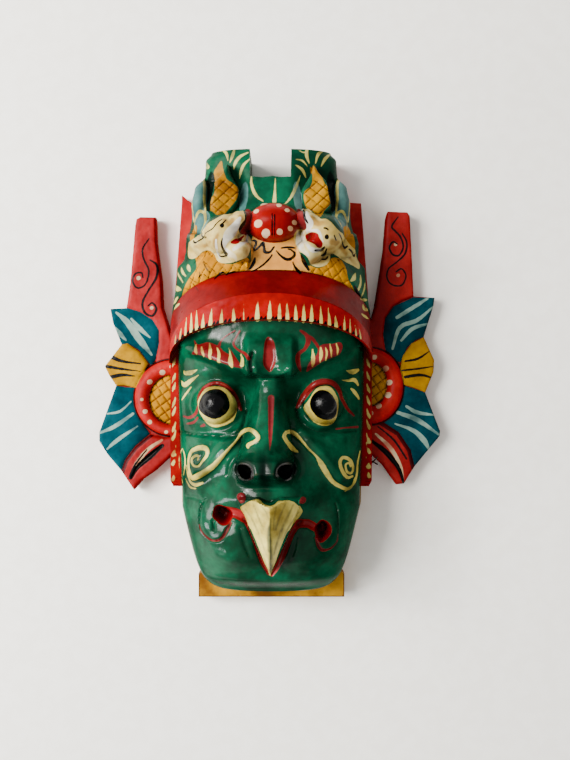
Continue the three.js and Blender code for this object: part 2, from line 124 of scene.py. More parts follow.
class Surface:
    """The places of many points, and the signed distances from them to painted or carved shapes."""

    def __init__(self, x, y):
        self.x, self.y = x, y
        self.fields = {}

    def field(self, name):
        if name not in self.fields:
            self.fields[name] = np.full(self.x.shape, FAR)
        return self.fields[name]

    def near(self, points, margin):
        low, high = points[:, :2].min(0) - margin, points[:, :2].max(0) + margin
        return (self.x > low[0]) & (self.x < high[0]) & (self.y > low[1]) & (self.y < high[1])

    def put(self, name, where, value):
        field = self.field(name)
        field[where] = np.maximum(field[where], value)

    def cover(self, name, value):
        self.put(name, slice(None), np.clip(value, FAR, -FAR))

    def stroke(self, name, points, steps=5, grow=0.0):
        """A brush or gouge stroke through rows of x, y and half-width."""
        path = spline(points, steps) + np.array([0, 0, grow])
        where = self.near(path, 5)
        x, y = self.x[where], self.y[where]
        best = np.full(x.shape, FAR)
        for a, b in zip(path[:-1], path[1:]):
            distance, t = segment(x, y, a, b)
            best = np.maximum(best, lerp(a[2], b[2], t) - distance)
        self.put(name, where, best)

    def patch(self, name, points, steps=4, grow=0.0):
        """A closed shape through corner points, rounded unless steps is 1."""
        path = spline(points, steps, True) if steps > 1 else np.array(points, float)
        where = self.near(path, 5)
        x, y = self.x[where], self.y[where]
        best = np.full(x.shape, 9.0)
        inside = np.zeros(x.shape, bool)
        for a, b in zip(path, np.roll(path, -1, 0)):
            best = np.minimum(best, segment(x, y, a, b)[0])
            crosses = (a[1] > y) != (b[1] > y)
            inside ^= crosses & (x < (b[0] - a[0]) * (y - a[1]) / (b[1] - a[1] + 1e-12) + a[0])
        self.put(name, where, np.where(inside, best, -best) + grow)

    def oval(self, name, x, y, rx, ry, turn=0.0):
        dx, dy = self.x - x, self.y - y
        u = (dx * math.cos(turn) + dy * math.sin(turn)) / rx
        v = (dy * math.cos(turn) - dx * math.sin(turn)) / ry
        self.cover(name, (1 - np.hypot(u, v)) * min(rx, ry))


# The head's outlines, as in the solid
HEAD_LOW, HEAD_TOP = -150, 150
PLATE_HALF, PLATE_TOP = 50, -134
BAND, BAND_LOW, BAND_TOP, BAND_Z = 67.5, -73.0, 40.0, 30.0
FLANGE_Z, EDGE_Z, FACE_EDGE = 14.0, 17.0, 34.0
BAND_MIDDLE = 64.8
KNEE_Y, CHIN_Y, CHIN_CORNER = -85.0, -141.0, 46.0
BRIM, BRIM_CREST = BAND - 1, 88


def jaw_half(down):
    """The face's half-width below its knee: 0 is at the knee and 1 at the chin."""
    return lerp(59, 45.5, down) * arch(down, 6)


def face_half(y):
    upper = lerp(59, 61.5, smooth((y - KNEE_Y) / -KNEE_Y))
    return np.where(y >= KNEE_Y, upper, jaw_half(np.clip((KNEE_Y - y) / (KNEE_Y - CHIN_Y), 0, 1)))


def block_half(y):
    return lerp(BAND, 61.5, np.clip((y - BAND_TOP) / 80, 0, 1))


CROWN_STEPS = [
    [40, 0.993], [72, 0.947], [80, 0.872], [92, 0.827], [112, 0.79], [124, 0.752], [131, 0.669],
    [145, 0.657], [150, 0.6],
]


def crown_half(y):
    return np.minimum(BRIM * profile(CROWN_STEPS, y), block_half(np.minimum(y, 120)))


def brim_low(x):
    return 10 + 26 * arch(x / BRIM, 2.2)


def brim_ridge(x):
    return 16.8 + 35.2 * arch(x / BRIM, 2)


def brim_top(x):
    return 30 + 38 * arch(x / BRIM, 2.4)


def brim_forward(x):
    return arch(x / (BRIM + 1), 2.3)


def chin_line(x):
    down = np.linspace(1, 0, 400)
    return KNEE_Y + (CHIN_Y - KNEE_Y) * np.interp(np.minimum(np.abs(x), CHIN_CORNER), jaw_half(down), down)


def outer_half(y, side):
    body = np.maximum(47, face_half(y) + 2.3)
    lower = np.where(y < PLATE_TOP, PLATE_HALF, body)
    value = np.where(y < BAND_LOW, lower, lerp(65.5, BAND, smooth((y - BAND_LOW) / 5)))
    value = np.where(y > BAND_TOP, block_half(y), value)
    top = 125.5 if side < 0 else 120.0
    return np.where(y > top, crown_half(y) + 0.6, value)


# Places seen by the camera, turned into places on the carved surface
def seen(points, height, scale, origin):
    """Rows of x and y in a magnified view, with an optional half-width, in millimetres on the surface."""
    rows = np.array(points, float)
    px, py = origin[0] + rows[:, 0] / scale, origin[1] + rows[:, 1] / scale
    z = np.full(len(rows), 60.0)
    for _ in range(8):
        size = (CAMERA[2] - z) / FOCAL
        x = (px - VIEW_WIDTH / 2) * size + CAMERA[0]
        y = (VIEW_HEIGHT / 2 - py) * size + CAMERA[1]
        z = lerp(z, height(x, y), 0.7)
    out = np.stack([x, y], 1)
    if rows.shape[1] > 2:
        out = np.column_stack([out, rows[:, 2:] / scale * size[:, None]])
    return out


# The carved face
MIDLINE = [
    [CHIN_Y, 40], [-128, 60], [-112, 68], [-88, 70], [-50, 68], [-10, 67], [8, 76], [36, 76], [60, 74],
]
EYE = (34.3, -17.0)


def ball(x, y, centre, radii, turn=0.0):
    """The upper side of an ellipsoid, which falls away steeply beyond its rim."""
    dx, dy = x - centre[0], y - centre[1]
    u = (dx * math.cos(turn) + dy * math.sin(turn)) / radii[0]
    v = (dy * math.cos(turn) - dx * math.sin(turn)) / radii[1]
    away = np.hypot(u, v)
    return centre[2] + radii[2] * (np.sqrt(np.maximum(0, 1 - away * away)) - 3 * np.maximum(0, away - 1))


def blend_max(a, b, softness):
    overlap = np.maximum(softness - np.abs(a - b), 0) / softness
    return np.maximum(a, b) + overlap * overlap * softness * 0.25


def nose_centre(y):
    return -2.9 * smooth((y - 2) / -59)


def nose(x, y):
    length = np.clip((y - 2) / -53, 0, 1)
    width = lerp(8, 18, length)
    ends = smooth((3 - y) / 5) * smooth((y + 69) / 12)
    return (7 + 24 * length**1.2) * ends * arch(x / width, 1.8)


def face_relief(x, y):
    side = np.abs(x)
    across = x / (face_half(y) + 0.01)
    rounding = np.maximum(0, 1 - np.minimum(1, np.abs(across)) ** 2.4) ** 0.55
    z = lerp(FACE_EDGE, profile(MIDLINE, y), rounding)
    below_brow = y < 4 + 0.37 * (side - 13)
    brow = ridge(side, y, (13, 4), (54, 19), np.where(below_brow, 3.6, 7), 8)
    forehead = 7 * smooth((18 - side) / 5) * smooth(y / 2.5) * smooth((30 - y) / 14)
    socket = bump(side, y, EYE[0] + 2, EYE[1], 21, 15, -7, 4) + bump(side, y, 18, -12, 7, 12, -7)
    lid = 5 * np.exp(-(((np.hypot(side - EYE[0], (y - EYE[1]) * 1.1) - 14) / 3) ** 2))
    from_nose = x - nose_centre(y)
    nostril = bump(np.abs(from_nose), y, 12.5, -56, 12, 10, 9)
    upper_lip = bump(side, y, 0, -74, 27, 12, 13, 2.5)
    cheek = bump(side, y, 38, -48, 17, 14, 5) + ridge(side, y, (20, -34), (46, -62), 4, 4)
    mouth_corner = bump(side, y, 43, -93, 10, 14, 4)
    chin = bump(side, y, 23, -107, 17, 18, 5, 3)
    z += brow + forehead + socket + lid
    z += nose(from_nose, y) + nostril + upper_lip + cheek + mouth_corner + chin
    return np.maximum(FACE_EDGE, z)


def eyes(x, y):
    side = np.abs(x)
    white = ball(side, y, (*EYE, 62), (12.5, 12.5, 12))
    return np.maximum(white, ball(side, y, (EYE[0], EYE[1] + 1, 67), (9, 9, 9)))


BEAK_TIP, BEAK_BASE = -118.5, -75.0


def beak(x, y):
    along = np.clip((y - BEAK_TIP) / (BEAK_BASE - BEAK_TIP), 0, 1)
    width = 0.6 + 18.4 * along**0.86
    across = np.abs(x) / width
    notch = 4 * (1 - smooth(across * 2.2)) * along**6
    crest = lerp(94, 100, np.sin(along * np.pi * 0.6))
    top = crest - lerp(9, 15, along) * np.minimum(across, 1) ** 1.2
    out = np.maximum.reduce([(across - 1) * width, BEAK_TIP - y, y - BEAK_BASE + notch])
    return np.where(out > 0, top - 9 * out, top)


# The crown
CROWN_LINE = [[40, 60], [68, 71], [86, 67], [102, 60], [118, 54], [131, 50], [150, 46]]
EMBLEM_X = 2.5
PEARL = (EMBLEM_X, 98, 69)
PANEL_LOW, PANEL_TOP = 56, 105


def crown_ground(x, y):
    rounding = np.maximum(0, 1 - np.minimum(1, np.abs(x / crown_half(y))) ** 3) ** 0.6
    return lerp(BAND_Z, profile(CROWN_LINE, y), rounding)


def panel(x, y):
    up = np.clip((y - PANEL_LOW) / (PANEL_TOP - PANEL_LOW), 0, 1)
    across = np.abs(x - EMBLEM_X) / lerp(29, 16, smooth(up * 1.2))
    out = np.maximum((across - 1) * 20, y - PANEL_TOP)
    return 71 - 4 * np.minimum(across, 1) ** 2 - 3 * up - 12 * np.maximum(0, out)


def dragon_head(x, y, side):
    out = (x - EMBLEM_X) * side
    skull = ball(out, y, (31, 91, 69), (13, 12, 17))
    snout = ball(out, y, (22, 98, 69), (10, 6, 16), -0.5)
    chin = ball(out, y, (22, 79, 69), (8.5, 8, 16), 0.3)
    mane = ball(out, y, (44, 84, 52), (14, 6.5, 14), 0.55)
    z = blend_max(blend_max(blend_max(skull, snout, 4), chin, 3), mane, 4)
    mouth = np.sqrt(((out - 14) / 10) ** 2 + ((y - 88) / 4.5) ** 2)
    return np.where(mouth < 1.25, np.minimum(z, 74 + 40 * np.maximum(0, mouth - 0.85)), z)


def dragon_body(x, y):
    side = np.abs(x)
    along = np.clip((side - 14) / 50, 0, 1)
    radius = lerp(5, 9.5, np.sin(np.pi * np.clip(along * 1.15, 0, 1)))
    across = (y - (brim_top(x) - 1 + radius)) / radius
    z = crown_ground(x, y) + 4.5 * np.cos(np.clip(across, -1, 1) * 1.5)
    z = z - 12 * np.maximum(0, np.abs(across) - 1) * radius
    return z - 12 * np.maximum(0, 14 - side)


def crown_relief(x, y):
    side = np.abs(x)
    ground = crown_ground(x, y) + bump(side, y, 30, 121, 14, 19, -6, 4)
    tall_lobe = ball(side, y, (46.5, 118, 36), (6, 14, 12), 0.12)
    low_lobe = ball(side, y, (44, 100, 40), (6.5, 9, 13), 0.2)
    return blend_max(blend_max(ground, tall_lobe, 2), low_lobe, 2)


HORN = [
    [28, 139], [31, 133], [36, 127], [37.5, 121], [39.5, 111], [34, 105], [28, 105], [22, 111],
    [20, 120], [22.5, 126], [26, 132],
]


def raised(z, distance, top, edge, round_by):
    """Lifts z to top inside a shape, with a steep edge and a rounded border."""
    shape = top - round_by * (1 - np.clip(distance / 3, 0, 1)) ** 2
    return lerp(z, np.maximum(z, shape), smooth((distance + edge / 2) / edge))


def head_relief(x, y, zone):
    """The head's front surface. Zone 0 is below the brim, 1 is the brim and 2 is the crown."""
    face = np.maximum.reduce([face_relief(x, y), eyes(x, y), beak(x, y)])
    on_face = (np.abs(x) <= face_half(y) + 0.02) & (y >= chin_line(x) - 0.02)
    strip = np.where(y > BAND_LOW, BAND_Z, FLANGE_Z)
    lower = np.where(on_face, face, strip)

    forward = brim_forward(x)
    low, mid, top = brim_low(x), brim_ridge(x), brim_top(x)
    crest = lerp(BAND_Z, BRIM_CREST, forward)
    front = lerp(34 + 51 * forward, crest, np.clip((y - low) / (mid - low + 0.01), 0, 1))
    slope = lerp(crest, 28 + 42 * forward, np.clip((y - mid) / (top - mid + 0.01), 0, 1))
    brim = np.where(y < mid, front, slope)

    upper = crown_relief(x, y)
    for side in (-1, 1):
        flat = Surface(x, y)
        flat.patch("horn", [[side * a, b] for a, b in HORN], 3)
        upper = raised(upper, flat.field("horn"), 57, 1.0, 1.8)
    upper = blend_max(upper, dragon_body(x, y), 1)
    upper = np.maximum.reduce([upper, panel(x, y), ball(x, y, PEARL, (16.6, 12, 17))])
    for side in (-1, 1):
        upper = blend_max(upper, dragon_head(x, y, side), 1)
    upper = np.where(np.abs(x) > crown_half(y) + 0.02, FLANGE_Z, upper)
    return np.choose(zone, [lower, brim, upper])


# The head's grid, bent so that its rows follow the chin and the brim and its columns the face's sides
BRIM_START, BRIM_MIDDLE, BRIM_END = 36, 52, 68
LEVELS = [HEAD_LOW, CHIN_Y, -100, BAND_LOW, BRIM_START, BRIM_MIDDLE, BRIM_END, 112, HEAD_TOP]
JUMPS = (CHIN_Y, BRIM_START, BRIM_END)
JUMP_GAP = 0.15
STEP = 0.66


def bend_rows(nominal, x):
    bent = {CHIN_Y: chin_line, BRIM_START: brim_low, BRIM_MIDDLE: brim_ridge, BRIM_END: brim_top}
    ends = [bent[level](x) if level in bent else np.full_like(x, level) for level in LEVELS]
    y = np.zeros_like(x)
    for i in range(len(LEVELS) - 1):
        inside = (nominal >= LEVELS[i]) & (nominal <= LEVELS[i + 1])
        t = (nominal - LEVELS[i]) / (LEVELS[i + 1] - LEVELS[i])
        y = np.where(inside, lerp(ends[i], ends[i + 1], t), y)
    return y


def level_rows():
    rows = [HEAD_LOW]
    for a, b in zip(LEVELS[:-1], LEVELS[1:]):
        gap_low, gap_high = (JUMP_GAP if level in JUMPS else 0 for level in (a, b))
        count = max(2, round((b - a) / STEP))
        rows += list(np.linspace(a + gap_low, b - gap_high, count + 1)[(0 if gap_low else 1) :])
    return np.array(rows)


def head_grid():
    rows = level_rows()
    t = np.linspace(-1, 1, round(118 / STEP))
    inner = lerp(t, np.sin(t * np.pi / 2), 0.35)
    edge = np.array([0.06, 0.25, 0.5, 0.75, 0.94, 1.0])
    edge_count = len(edge)
    nominal = rows[:, None] + np.zeros(len(inner) + 2 * edge_count)
    zone = np.where(nominal < BRIM_START, 0, np.where(nominal < BRIM_END, 1, 2))
    y = nominal.copy()
    x = np.zeros_like(y)
    for _ in range(5):
        lower = np.maximum(face_half(y), CHIN_CORNER)
        split = np.choose(zone, [lower, np.full_like(y, BRIM), crown_half(y)])
        left, right = outer_half(y, -1), outer_half(y, 1)
        x[:, edge_count:-edge_count] = split[:, edge_count:-edge_count] * inner
        x[:, :edge_count] = -lerp(split[:, :edge_count], left[:, :edge_count], edge[::-1])
        x[:, -edge_count:] = lerp(split[:, -edge_count:], right[:, -edge_count:], edge)
        y = bend_rows(nominal, x)
    return x, y, zone


def add_mesh(name, points, faces, material):
    mesh = bpy.data.meshes.new(name)
    mesh.from_pydata((np.asarray(points) * MM).tolist(), [], [list(map(int, f)) for f in faces])
    mesh.materials.append(material)
    mesh.polygons.foreach_set("use_smooth", [True] * len(mesh.polygons))
    mesh.set_sharp_from_angle(angle=math.radians(50))
    obj = bpy.data.objects.new(name, mesh)
    bpy.context.scene.collection.objects.link(obj)
    return obj


def block(x, y, z, floor=0.0):
    """Points and faces of the closed block under a grid of top points."""
    rows, columns = x.shape
    top = np.stack([x, y, z], 2).reshape(-1, 3)
    at = np.arange(rows * columns).reshape(rows, columns)
    faces = np.stack([at[:-1, :-1], at[:-1, 1:], at[1:, 1:], at[1:, :-1]], 2).reshape(-1, 4).tolist()
    rim = np.concatenate([at[0, :], at[1:, -1], at[-1, -2::-1], at[-2:0:-1, 0]])
    base = top[rim].copy()
    base[:, 2] = floor
    lower = len(top) + np.arange(len(rim))
    for i in range(len(rim)):
        j = (i + 1) % len(rim)
        faces.append([rim[j], rim[i], lower[i], lower[j]])
    faces.append(lower[::-1].tolist())
    return np.vstack([top, base]), faces


def cut(obj, tool, operation="DIFFERENCE"):
    modifier = obj.modifiers.new("cut", "BOOLEAN")
    modifier.operation = operation
    modifier.solver = "MANIFOLD"
    modifier.object = tool
    bpy.context.view_layer.update()
    result = bpy.data.meshes.new_from_object(obj.evaluated_get(bpy.context.evaluated_depsgraph_get()))
    obj.modifiers.clear()
    old, obj.data = obj.data, result
    bpy.data.meshes.remove(old)
    bpy.data.objects.remove(tool)


plain = bpy.data.materials.new("plain")


# A lattice of heights, so that a place seen by the camera finds its depth quickly
def make_height(relief, low, high):
    xs, ys = np.arange(low[0], high[0] + 1.0), np.arange(low[1], high[1] + 1.0)
    grid = relief(*np.meshgrid(xs, ys))

    def height(x, y):
        u = np.clip(x - xs[0], 0, len(xs) - 1.001)
        v = np.clip(y - ys[0], 0, len(ys) - 1.001)
        i, j = u.astype(int), v.astype(int)
        u, v = u - i, v - j
        upper = lerp(grid[j + 1, i], grid[j + 1, i + 1], u)
        return lerp(lerp(grid[j, i], grid[j, i + 1], u), upper, v)

    return height


def zone_of(x, y):
    return np.where(y < brim_low(x), 0, np.where(y < brim_top(x), 1, 2))


def view(height, scale, origin):
    """Puts what is read on one magnified view onto the surface."""
    return lambda points: seen(points, height, scale, origin)


head_height = make_height(lambda x, y: head_relief(x, y, zone_of(x, y)), (-68, HEAD_LOW), (68, HEAD_TOP))
left_face = view(head_height, 8, (165, 330))
right_face = view(head_height, 8, (265, 330))
jaw = view(head_height, 8, (170, 460))
crown = view(head_height, 6, (165, 140))
left_dragon = view(head_height, 10, (170, 190))
right_dragon = view(head_height, 10, (270, 190))


# Forms that are both carved and painted. Their points are read on magnified views.
LIDS = [
    left_face([
        (262, 580, 8), (275, 520, 14), (320, 460, 16), (400, 425, 16), (470, 440, 18), (520, 475, 18),
        (560, 530, 20), (590, 600, 18), (610, 640, 10),
    ]),
    right_face([
        (255, 620, 12), (290, 560, 22), (340, 490, 26), (400, 435, 26), (470, 412, 24), (540, 425, 22),
        (590, 480, 20), (620, 560, 16), (660, 630, 14), (710, 685, 8),
    ]),
]
FOREHEAD_MARK = left_face([
    (825, 55), (870, 90), (885, 180), (885, 260), (850, 330), (820, 325), (785, 270), (790, 170), (800, 90),
])
NOSE_MARK = left_face([(848, 545, 26), (848, 620, 22), (845, 760, 19), (842, 880, 12), (840, 965, 3)])
SCROLLS = [
    left_face([
        (665, 945, 5), (665, 920, 15), (720, 890, 12), (745, 860, 17), (720, 820, 17), (670, 795, 15),
        (615, 820, 13), (575, 880, 9), (530, 930, 10), (490, 975, 13), (440, 1030, 18), (390, 1085, 22),
        (330, 1130, 24), (260, 1170, 24), (215, 1180, 18), (192, 1110, 10), (190, 1030, 10), (220, 965, 15),
        (290, 940, 20), (335, 955, 18), (335, 1000, 13), (300, 1050, 9), (265, 1090, 8), (225, 1080, 9),
        (215, 1035, 10), (245, 1005, 10), (270, 1010, 8), (262, 1040, 6),
    ]),
    right_face([
        (265, 975, 5), (230, 955, 16), (185, 905, 15), (155, 850, 15), (180, 815, 15), (240, 830, 16),
        (300, 890, 10), (350, 950, 8), (410, 1010, 9), (450, 1070, 22), (490, 1140, 22), (540, 1210, 17),
        (600, 1250, 15), (660, 1270, 12), (700, 1240, 9), (720, 1180, 6),
    ]),
]
MOUTH_HOLES = [
    jaw([
        (345, 420), (360, 375), (400, 360), (450, 385), (490, 420), (495, 465), (465, 510), (420, 520),
        (375, 490), (345, 455),
    ]),
    jaw([
        (1175, 520), (1210, 482), (1258, 495), (1290, 540), (1285, 590), (1242, 640), (1200, 658),
        (1168, 610), (1162, 555),
    ]),
]
MOUTH_LINES = [
    jaw([(440, 400, 30), (490, 418, 40), (540, 432, 42), (590, 465, 36), (615, 510, 12)]),
    jaw([(1030, 510, 34), (1100, 510, 34), (1150, 535, 32), (1190, 560, 28)]),
]
LOBE_LINES = [
    jaw([
        (490, 500, 6), (460, 550, 14), (430, 605, 12), (395, 640, 10), (340, 645, 9), (290, 615, 8),
        (250, 570, 7), (232, 515, 4),
    ]),
    jaw([(1165, 620, 8), (1190, 690, 14), (1225, 722, 12), (1285, 708, 8), (1335, 655, 6), (1345, 590, 3)]),
]
LOBE_CREASES = [
    jaw([(232, 515, 6), (236, 440, 7), (252, 370, 8), (290, 310, 5)]),
    jaw([(1345, 590, 6), (1346, 480, 7), (1338, 400, 7), (1322, 345, 5)]),
]
BEAK = jaw([
    (562, 378), (610, 345), (650, 325), (700, 312), (730, 325), (750, 352), (800, 364), (840, 350),
    (870, 328), (930, 322), (990, 335), (1040, 370), (1060, 410), (1040, 450), (990, 510), (940, 575),
    (905, 650), (870, 740), (830, 850), (805, 925), (788, 900), (750, 800), (700, 680), (650, 560),
    (600, 460),
])
BEAK_WALLS = [
    jaw([(585, 470, 8), (650, 600, 10), (700, 730, 12), (740, 830, 14), (790, 915, 10)]),
    jaw([(1045, 495, 24), (985, 570, 22), (935, 680, 24), (895, 780, 24), (850, 870, 20), (815, 920, 12)]),
]
WARTS = [jaw([(570, 300)])[0], jaw([(1060, 320)])[0]]
NOSTRILS = [(-15.4, -57, 4.7), (9.6, -57, 4.7)]
CREASES = [
    (left_face([(700, 180, 8), (680, 260, 22), (690, 330, 26)]), 2.5),
    (left_face([(120, 816, 6), (330, 846, 14), (536, 852, 16), (620, 785, 16), (652, 650, 8)]), 2.6),
    (right_face([(248, 640, 8), (285, 735, 14), (400, 810, 18), (600, 826, 16), (730, 810, 6)]), 3.0),
    (left_face([(500, 1160, 8), (530, 1060, 14), (600, 1000, 14), (690, 985, 10)]), 1.6),
    (right_face([(60, 985, 8), (170, 980, 12), (260, 1030, 14), (290, 1120, 12), (260, 1200, 6)]), 1.6),
    (jaw([(135, 290, 8), (200, 300, 14), (260, 330, 12)]), 1.6),
    (jaw([(1310, 300, 6), (1400, 330, 10), (1460, 330, 6)]), 1.2),
    (jaw([(345, 490, 8), (350, 560, 10)]), 2.0),
    (jaw([(560, 540, 10), (600, 680, 16), (640, 780, 6)]), 1.0),
    (jaw([(1010, 620, 10), (990, 720, 16), (960, 800, 6)]), 1.0),
]
HORNS = [
    crown([
        (340, 125), (312, 160), (293, 200), (298, 270), (290, 330), (255, 405), (282, 428), (330, 450),
        (370, 430), (432, 350), (438, 290), (400, 255), (368, 230), (350, 180),
    ]),
    crown([
        (870, 160), (905, 172), (940, 220), (962, 265), (985, 320), (992, 380), (955, 425), (930, 465),
        (895, 435), (850, 410), (832, 350), (838, 308), (872, 278), (885, 230),
    ]),
]
BODIES = [
    left_dragon([
        (255, 670), (300, 640), (400, 600), (440, 640), (480, 700), (560, 740), (680, 720), (780, 680),
        (795, 760), (735, 832), (640, 852), (480, 902), (400, 942), (320, 982), (270, 1062), (160, 1142),
        (105, 1192), (105, 1100), (140, 980), (200, 870), (265, 780),
    ]),
    right_dragon([
        (380, 760), (480, 780), (560, 750), (620, 680), (700, 690), (760, 780), (780, 880), (830, 980),
        (880, 1060), (903, 1150), (905, 1225), (862, 1202), (800, 1122), (700, 1032), (580, 962),
        (480, 902), (395, 880),
    ]),
]
FRINGE = crown([
    (81, 1268), (101, 1240), (130, 1211), (166, 1183), (199, 1167), (235, 1151), (280, 1126), (344, 1114),
    (415, 1095), (475, 1090), (555, 1085), (628, 1085), (688, 1090), (735, 1095), (785, 1105), (831, 1110),
    (877, 1115), (934, 1125), (983, 1140), (1022, 1155), (1071, 1170), (1106, 1190), (1142, 1215),
    (1166, 1240),
])
FRINGE_SIZES = [
    (7, 0.5), (7.5, 0.7), (11.5, 0.8), (12.5, 1.1), (12.5, 1.2), (9, 1.2), (10.5, 1.3), (9, 1.2),
    (9.5, 1.2), (12, 0.45), (12, 1.5), (12, 1.5), (12, 1.2), (11.5, 1.2), (11.5, 1.2), (12, 1.3), (12, 1.3),
    (11, 1.1), (11, 1.1), (8, 1.2), (9.5, 0.8), (9, 0.7), (7, 0.6), (7, 0.6),
]
DOTS = [
    *left_dragon([(940, 145, 38), (862, 212, 28), (882, 335, 42), (958, 432, 42)]),
    *right_dragon([(90, 152, 28), (172, 202, 26), (245, 325, 27), (205, 385, 27), (97, 418, 32)]),
]
HATCH_TOP, HATCH_X, HATCH_Y = 127.0, 30, 119


def hatch(surface, name, side, half):
    """Two crossing sets of fine lines over a horn."""
    reach, gap = 18, 5.4
    x, y = side * HATCH_X, HATCH_Y
    for angle in (0.75, 2.5):
        dx, dy = math.cos(angle), math.sin(angle)
        for k in range(-3, 4):
            cx, cy = x - dy * k * gap, y + dx * k * gap
            ends = [(cx + end * dx * reach, cy + end * dy * reach, half) for end in (-1, 1)]
            surface.stroke(name, ends, 2)


def scales(x, y):
    """Distance from the nearest line of the scales, which follow the brim's upper arch."""
    up = y - brim_top(x)
    along = np.abs(x) * 1.15
    first = np.abs((along + 0.8 * up + 0.8 * waves(x, y, 14, 6.0)) / 7.6 % 1 - 0.5)
    second = np.abs((along - 0.9 * up + 0.8 * waves(x, y, 14, 7.0)) / 7.6 % 1 - 0.5)
    return (0.5 - np.maximum(first, second)) * 5.8


# Carved forms: how they are drawn, their shapes, their height, and how far out and how wide they slope
CARVINGS = [
    (Surface.stroke, LIDS, 1.6, 1.2, 2.4),
    (Surface.stroke, SCROLLS, 1.5, 1.5, 3),
    (Surface.patch, [FOREHEAD_MARK], -1.4, 0.2, 1.6),
    (Surface.stroke, [NOSE_MARK], -1.0, 0.2, 1.6),
    (Surface.stroke, MOUTH_LINES, -3.2, 0.8, 2.5),
    (Surface.patch, MOUTH_HOLES, -15, 0.4, 4),
    (Surface.stroke, [*LOBE_LINES, *LOBE_CREASES], -1.8, 0.6, 1.6),
    (Surface.stroke, BEAK_WALLS, -1.8, 0.4, 2),
    *((Surface.stroke, [path], -depth, 1.5, 3) for path, depth in CREASES),
]


def carve_details(x, y, z, zone):
    for draw, shapes, height, reach, width in CARVINGS:
        flat = Surface(x, y)
        for shape in shapes:
            draw(flat, "shape", shape)
        z = z + height * smooth((flat.field("shape") + reach) / width)
    for wx, wy in WARTS:
        z = z + 2.2 * arch(np.hypot(x - wx, y - wy) / 2.8, 2)
    for nx, ny, r in NOSTRILS:
        z = z - 2.5 * smooth((r + 2.6 - np.hypot(x - nx, y - ny)) / 2.6)
    flat = Surface(x, y)
    for side, horn in zip((-1, 1), HORNS):
        flat.patch("horn", horn)
        hatch(flat, "hatch", side, 0.25)
    hatched = np.minimum.reduce([flat.field("hatch"), flat.field("horn"), HATCH_TOP - y])
    z = z - 0.9 * smooth((hatched + 0.5) / 0.8)
    for body in BODIES:
        flat.patch("body", body)
    grooves = np.where(zone == 2, np.minimum(0.35 - scales(x, y), flat.field("body")), FAR)
    return z - 0.8 * smooth((grooves + 0.5) / 0.7)


x, y, zone = head_grid()
z = head_relief(x, y, zone)
z = carve_details(x, y, z, zone)
z = z + 0.12 * waves(x, y, 11, 1.0) + 0.02 * waves(x, y, 3.4, 2.0)
points, faces = block(x, y, np.maximum(z, 6))
head = add_mesh("head_carving", points, faces, plain)


# Openings and cuts in the head
def hollow_half(y):
    upper = smooth((y - 60) / 44)
    across = 50 + 3 * smooth((y - KNEE_Y) / 60) - 12 * upper
    return np.maximum(24, np.minimum(face_half(y) - 9, across))


HOLLOW_LOW, HOLLOW_TOP = -132, 104
HOLLOW = [
    [HOLLOW_LOW, 12], [-118, 36], [-90, 49], [-40, 52], [10, 50], [50, 47], [84, 36], [HOLLOW_TOP, 12],
]


def hollow_tool():
    v, u = np.meshgrid(np.linspace(0, 1, 90), np.linspace(-1, 1, 48), indexing="ij")
    hy = lerp(HOLLOW_LOW, HOLLOW_TOP, v)
    hx = hollow_half(hy) * u
    rounding = np.maximum(0, 1 - np.abs(u) ** 2.5) ** 0.6
    hz = lerp(8, profile(HOLLOW, hy), rounding) + 0.5 * waves(hx, hy, 14, 4.0, 2)
    tool_points, tool_faces = block(hx, hy, hz, -5)
    return add_mesh("hollow_tool", tool_points, tool_faces, plain)


NOTCH = [(-13.6, 131.3), (-6, 130.6), (1, 131.4), (7, 130.7), (13.2, 131.2), (13.4, 156), (-13.8, 156)]
FIN_CORNER = [(-54.5, 119.8), (-51.5, 119.8), (-44, 128), (-44, 131), (-61.8, 131), (-61.8, 125.8)]
THROUGH = (-1, 120)


def prism(outline, low, high):
    """A closed upright block over an outline, whichever way round the outline runs."""
    turns = sum(a[0] * b[1] - b[0] * a[1] for a, b in zip(outline, [*outline[1:], outline[0]]))
    outline = outline if turns > 0 else outline[::-1]
    count = len(outline)
    tool_points = [(px, py, low) for px, py in outline] + [(px, py, high) for px, py in outline]
    sides = [[i, (i + 1) % count, (i + 1) % count + count, i + count] for i in range(count)]
    ends = [list(range(count))[::-1], list(range(count, 2 * count))]
    return add_mesh("tool", tool_points, [*sides, *ends], plain)


def nostril_tool(cx, cy, r):
    """An upright tube, a little out of round."""
    ring = []
    for i in range(28):
        angle = 2 * math.pi * i / 28
        size = r * (1 + 0.06 * math.sin(2 * angle + cx) + 0.06 * math.sin(3 * angle + cy))
        ring.append((cx + size * math.cos(angle), cy + size * math.sin(angle)))
    return prism(ring, *THROUGH)


cut(head, hollow_tool())
for nx, ny, r in NOSTRILS:
    cut(head, nostril_tool(nx, ny, r))
cut(head, prism(NOTCH, *THROUGH))
cut(head, prism(FIN_CORNER, THROUGH[0], FLANGE_Z + 15))
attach(head, "root")
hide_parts("mask_head")


# The side boards: flat wings of feathers under a horn, with a scaly boss at the root
BOARD_EDGE, BOARD_BACK, BOARD_FACE = 67.8, 3.0, 12.0
NET_GAP, NET_SLANT = 5.6, 0.7
RAISED = {"horn": (14.5, 0.8), "lobe": (14.8, 1.6), "blue": (13.6, 0.9), "yellow": (15, 1.2)}


def board_face(x, y):
    return np.full_like(x, BOARD_FACE + 1.5)


def on_board(origin, side, boss, dome, **shapes):
    """A board's sizes, with its outlines and strokes put on its face in millimetres."""
    put = view(board_face, 4, origin)
    placed = {name: [put(shape) for shape in group] for name, group in shapes.items()}
    return {"side": side, "boss": boss, "dome": dome, **placed}


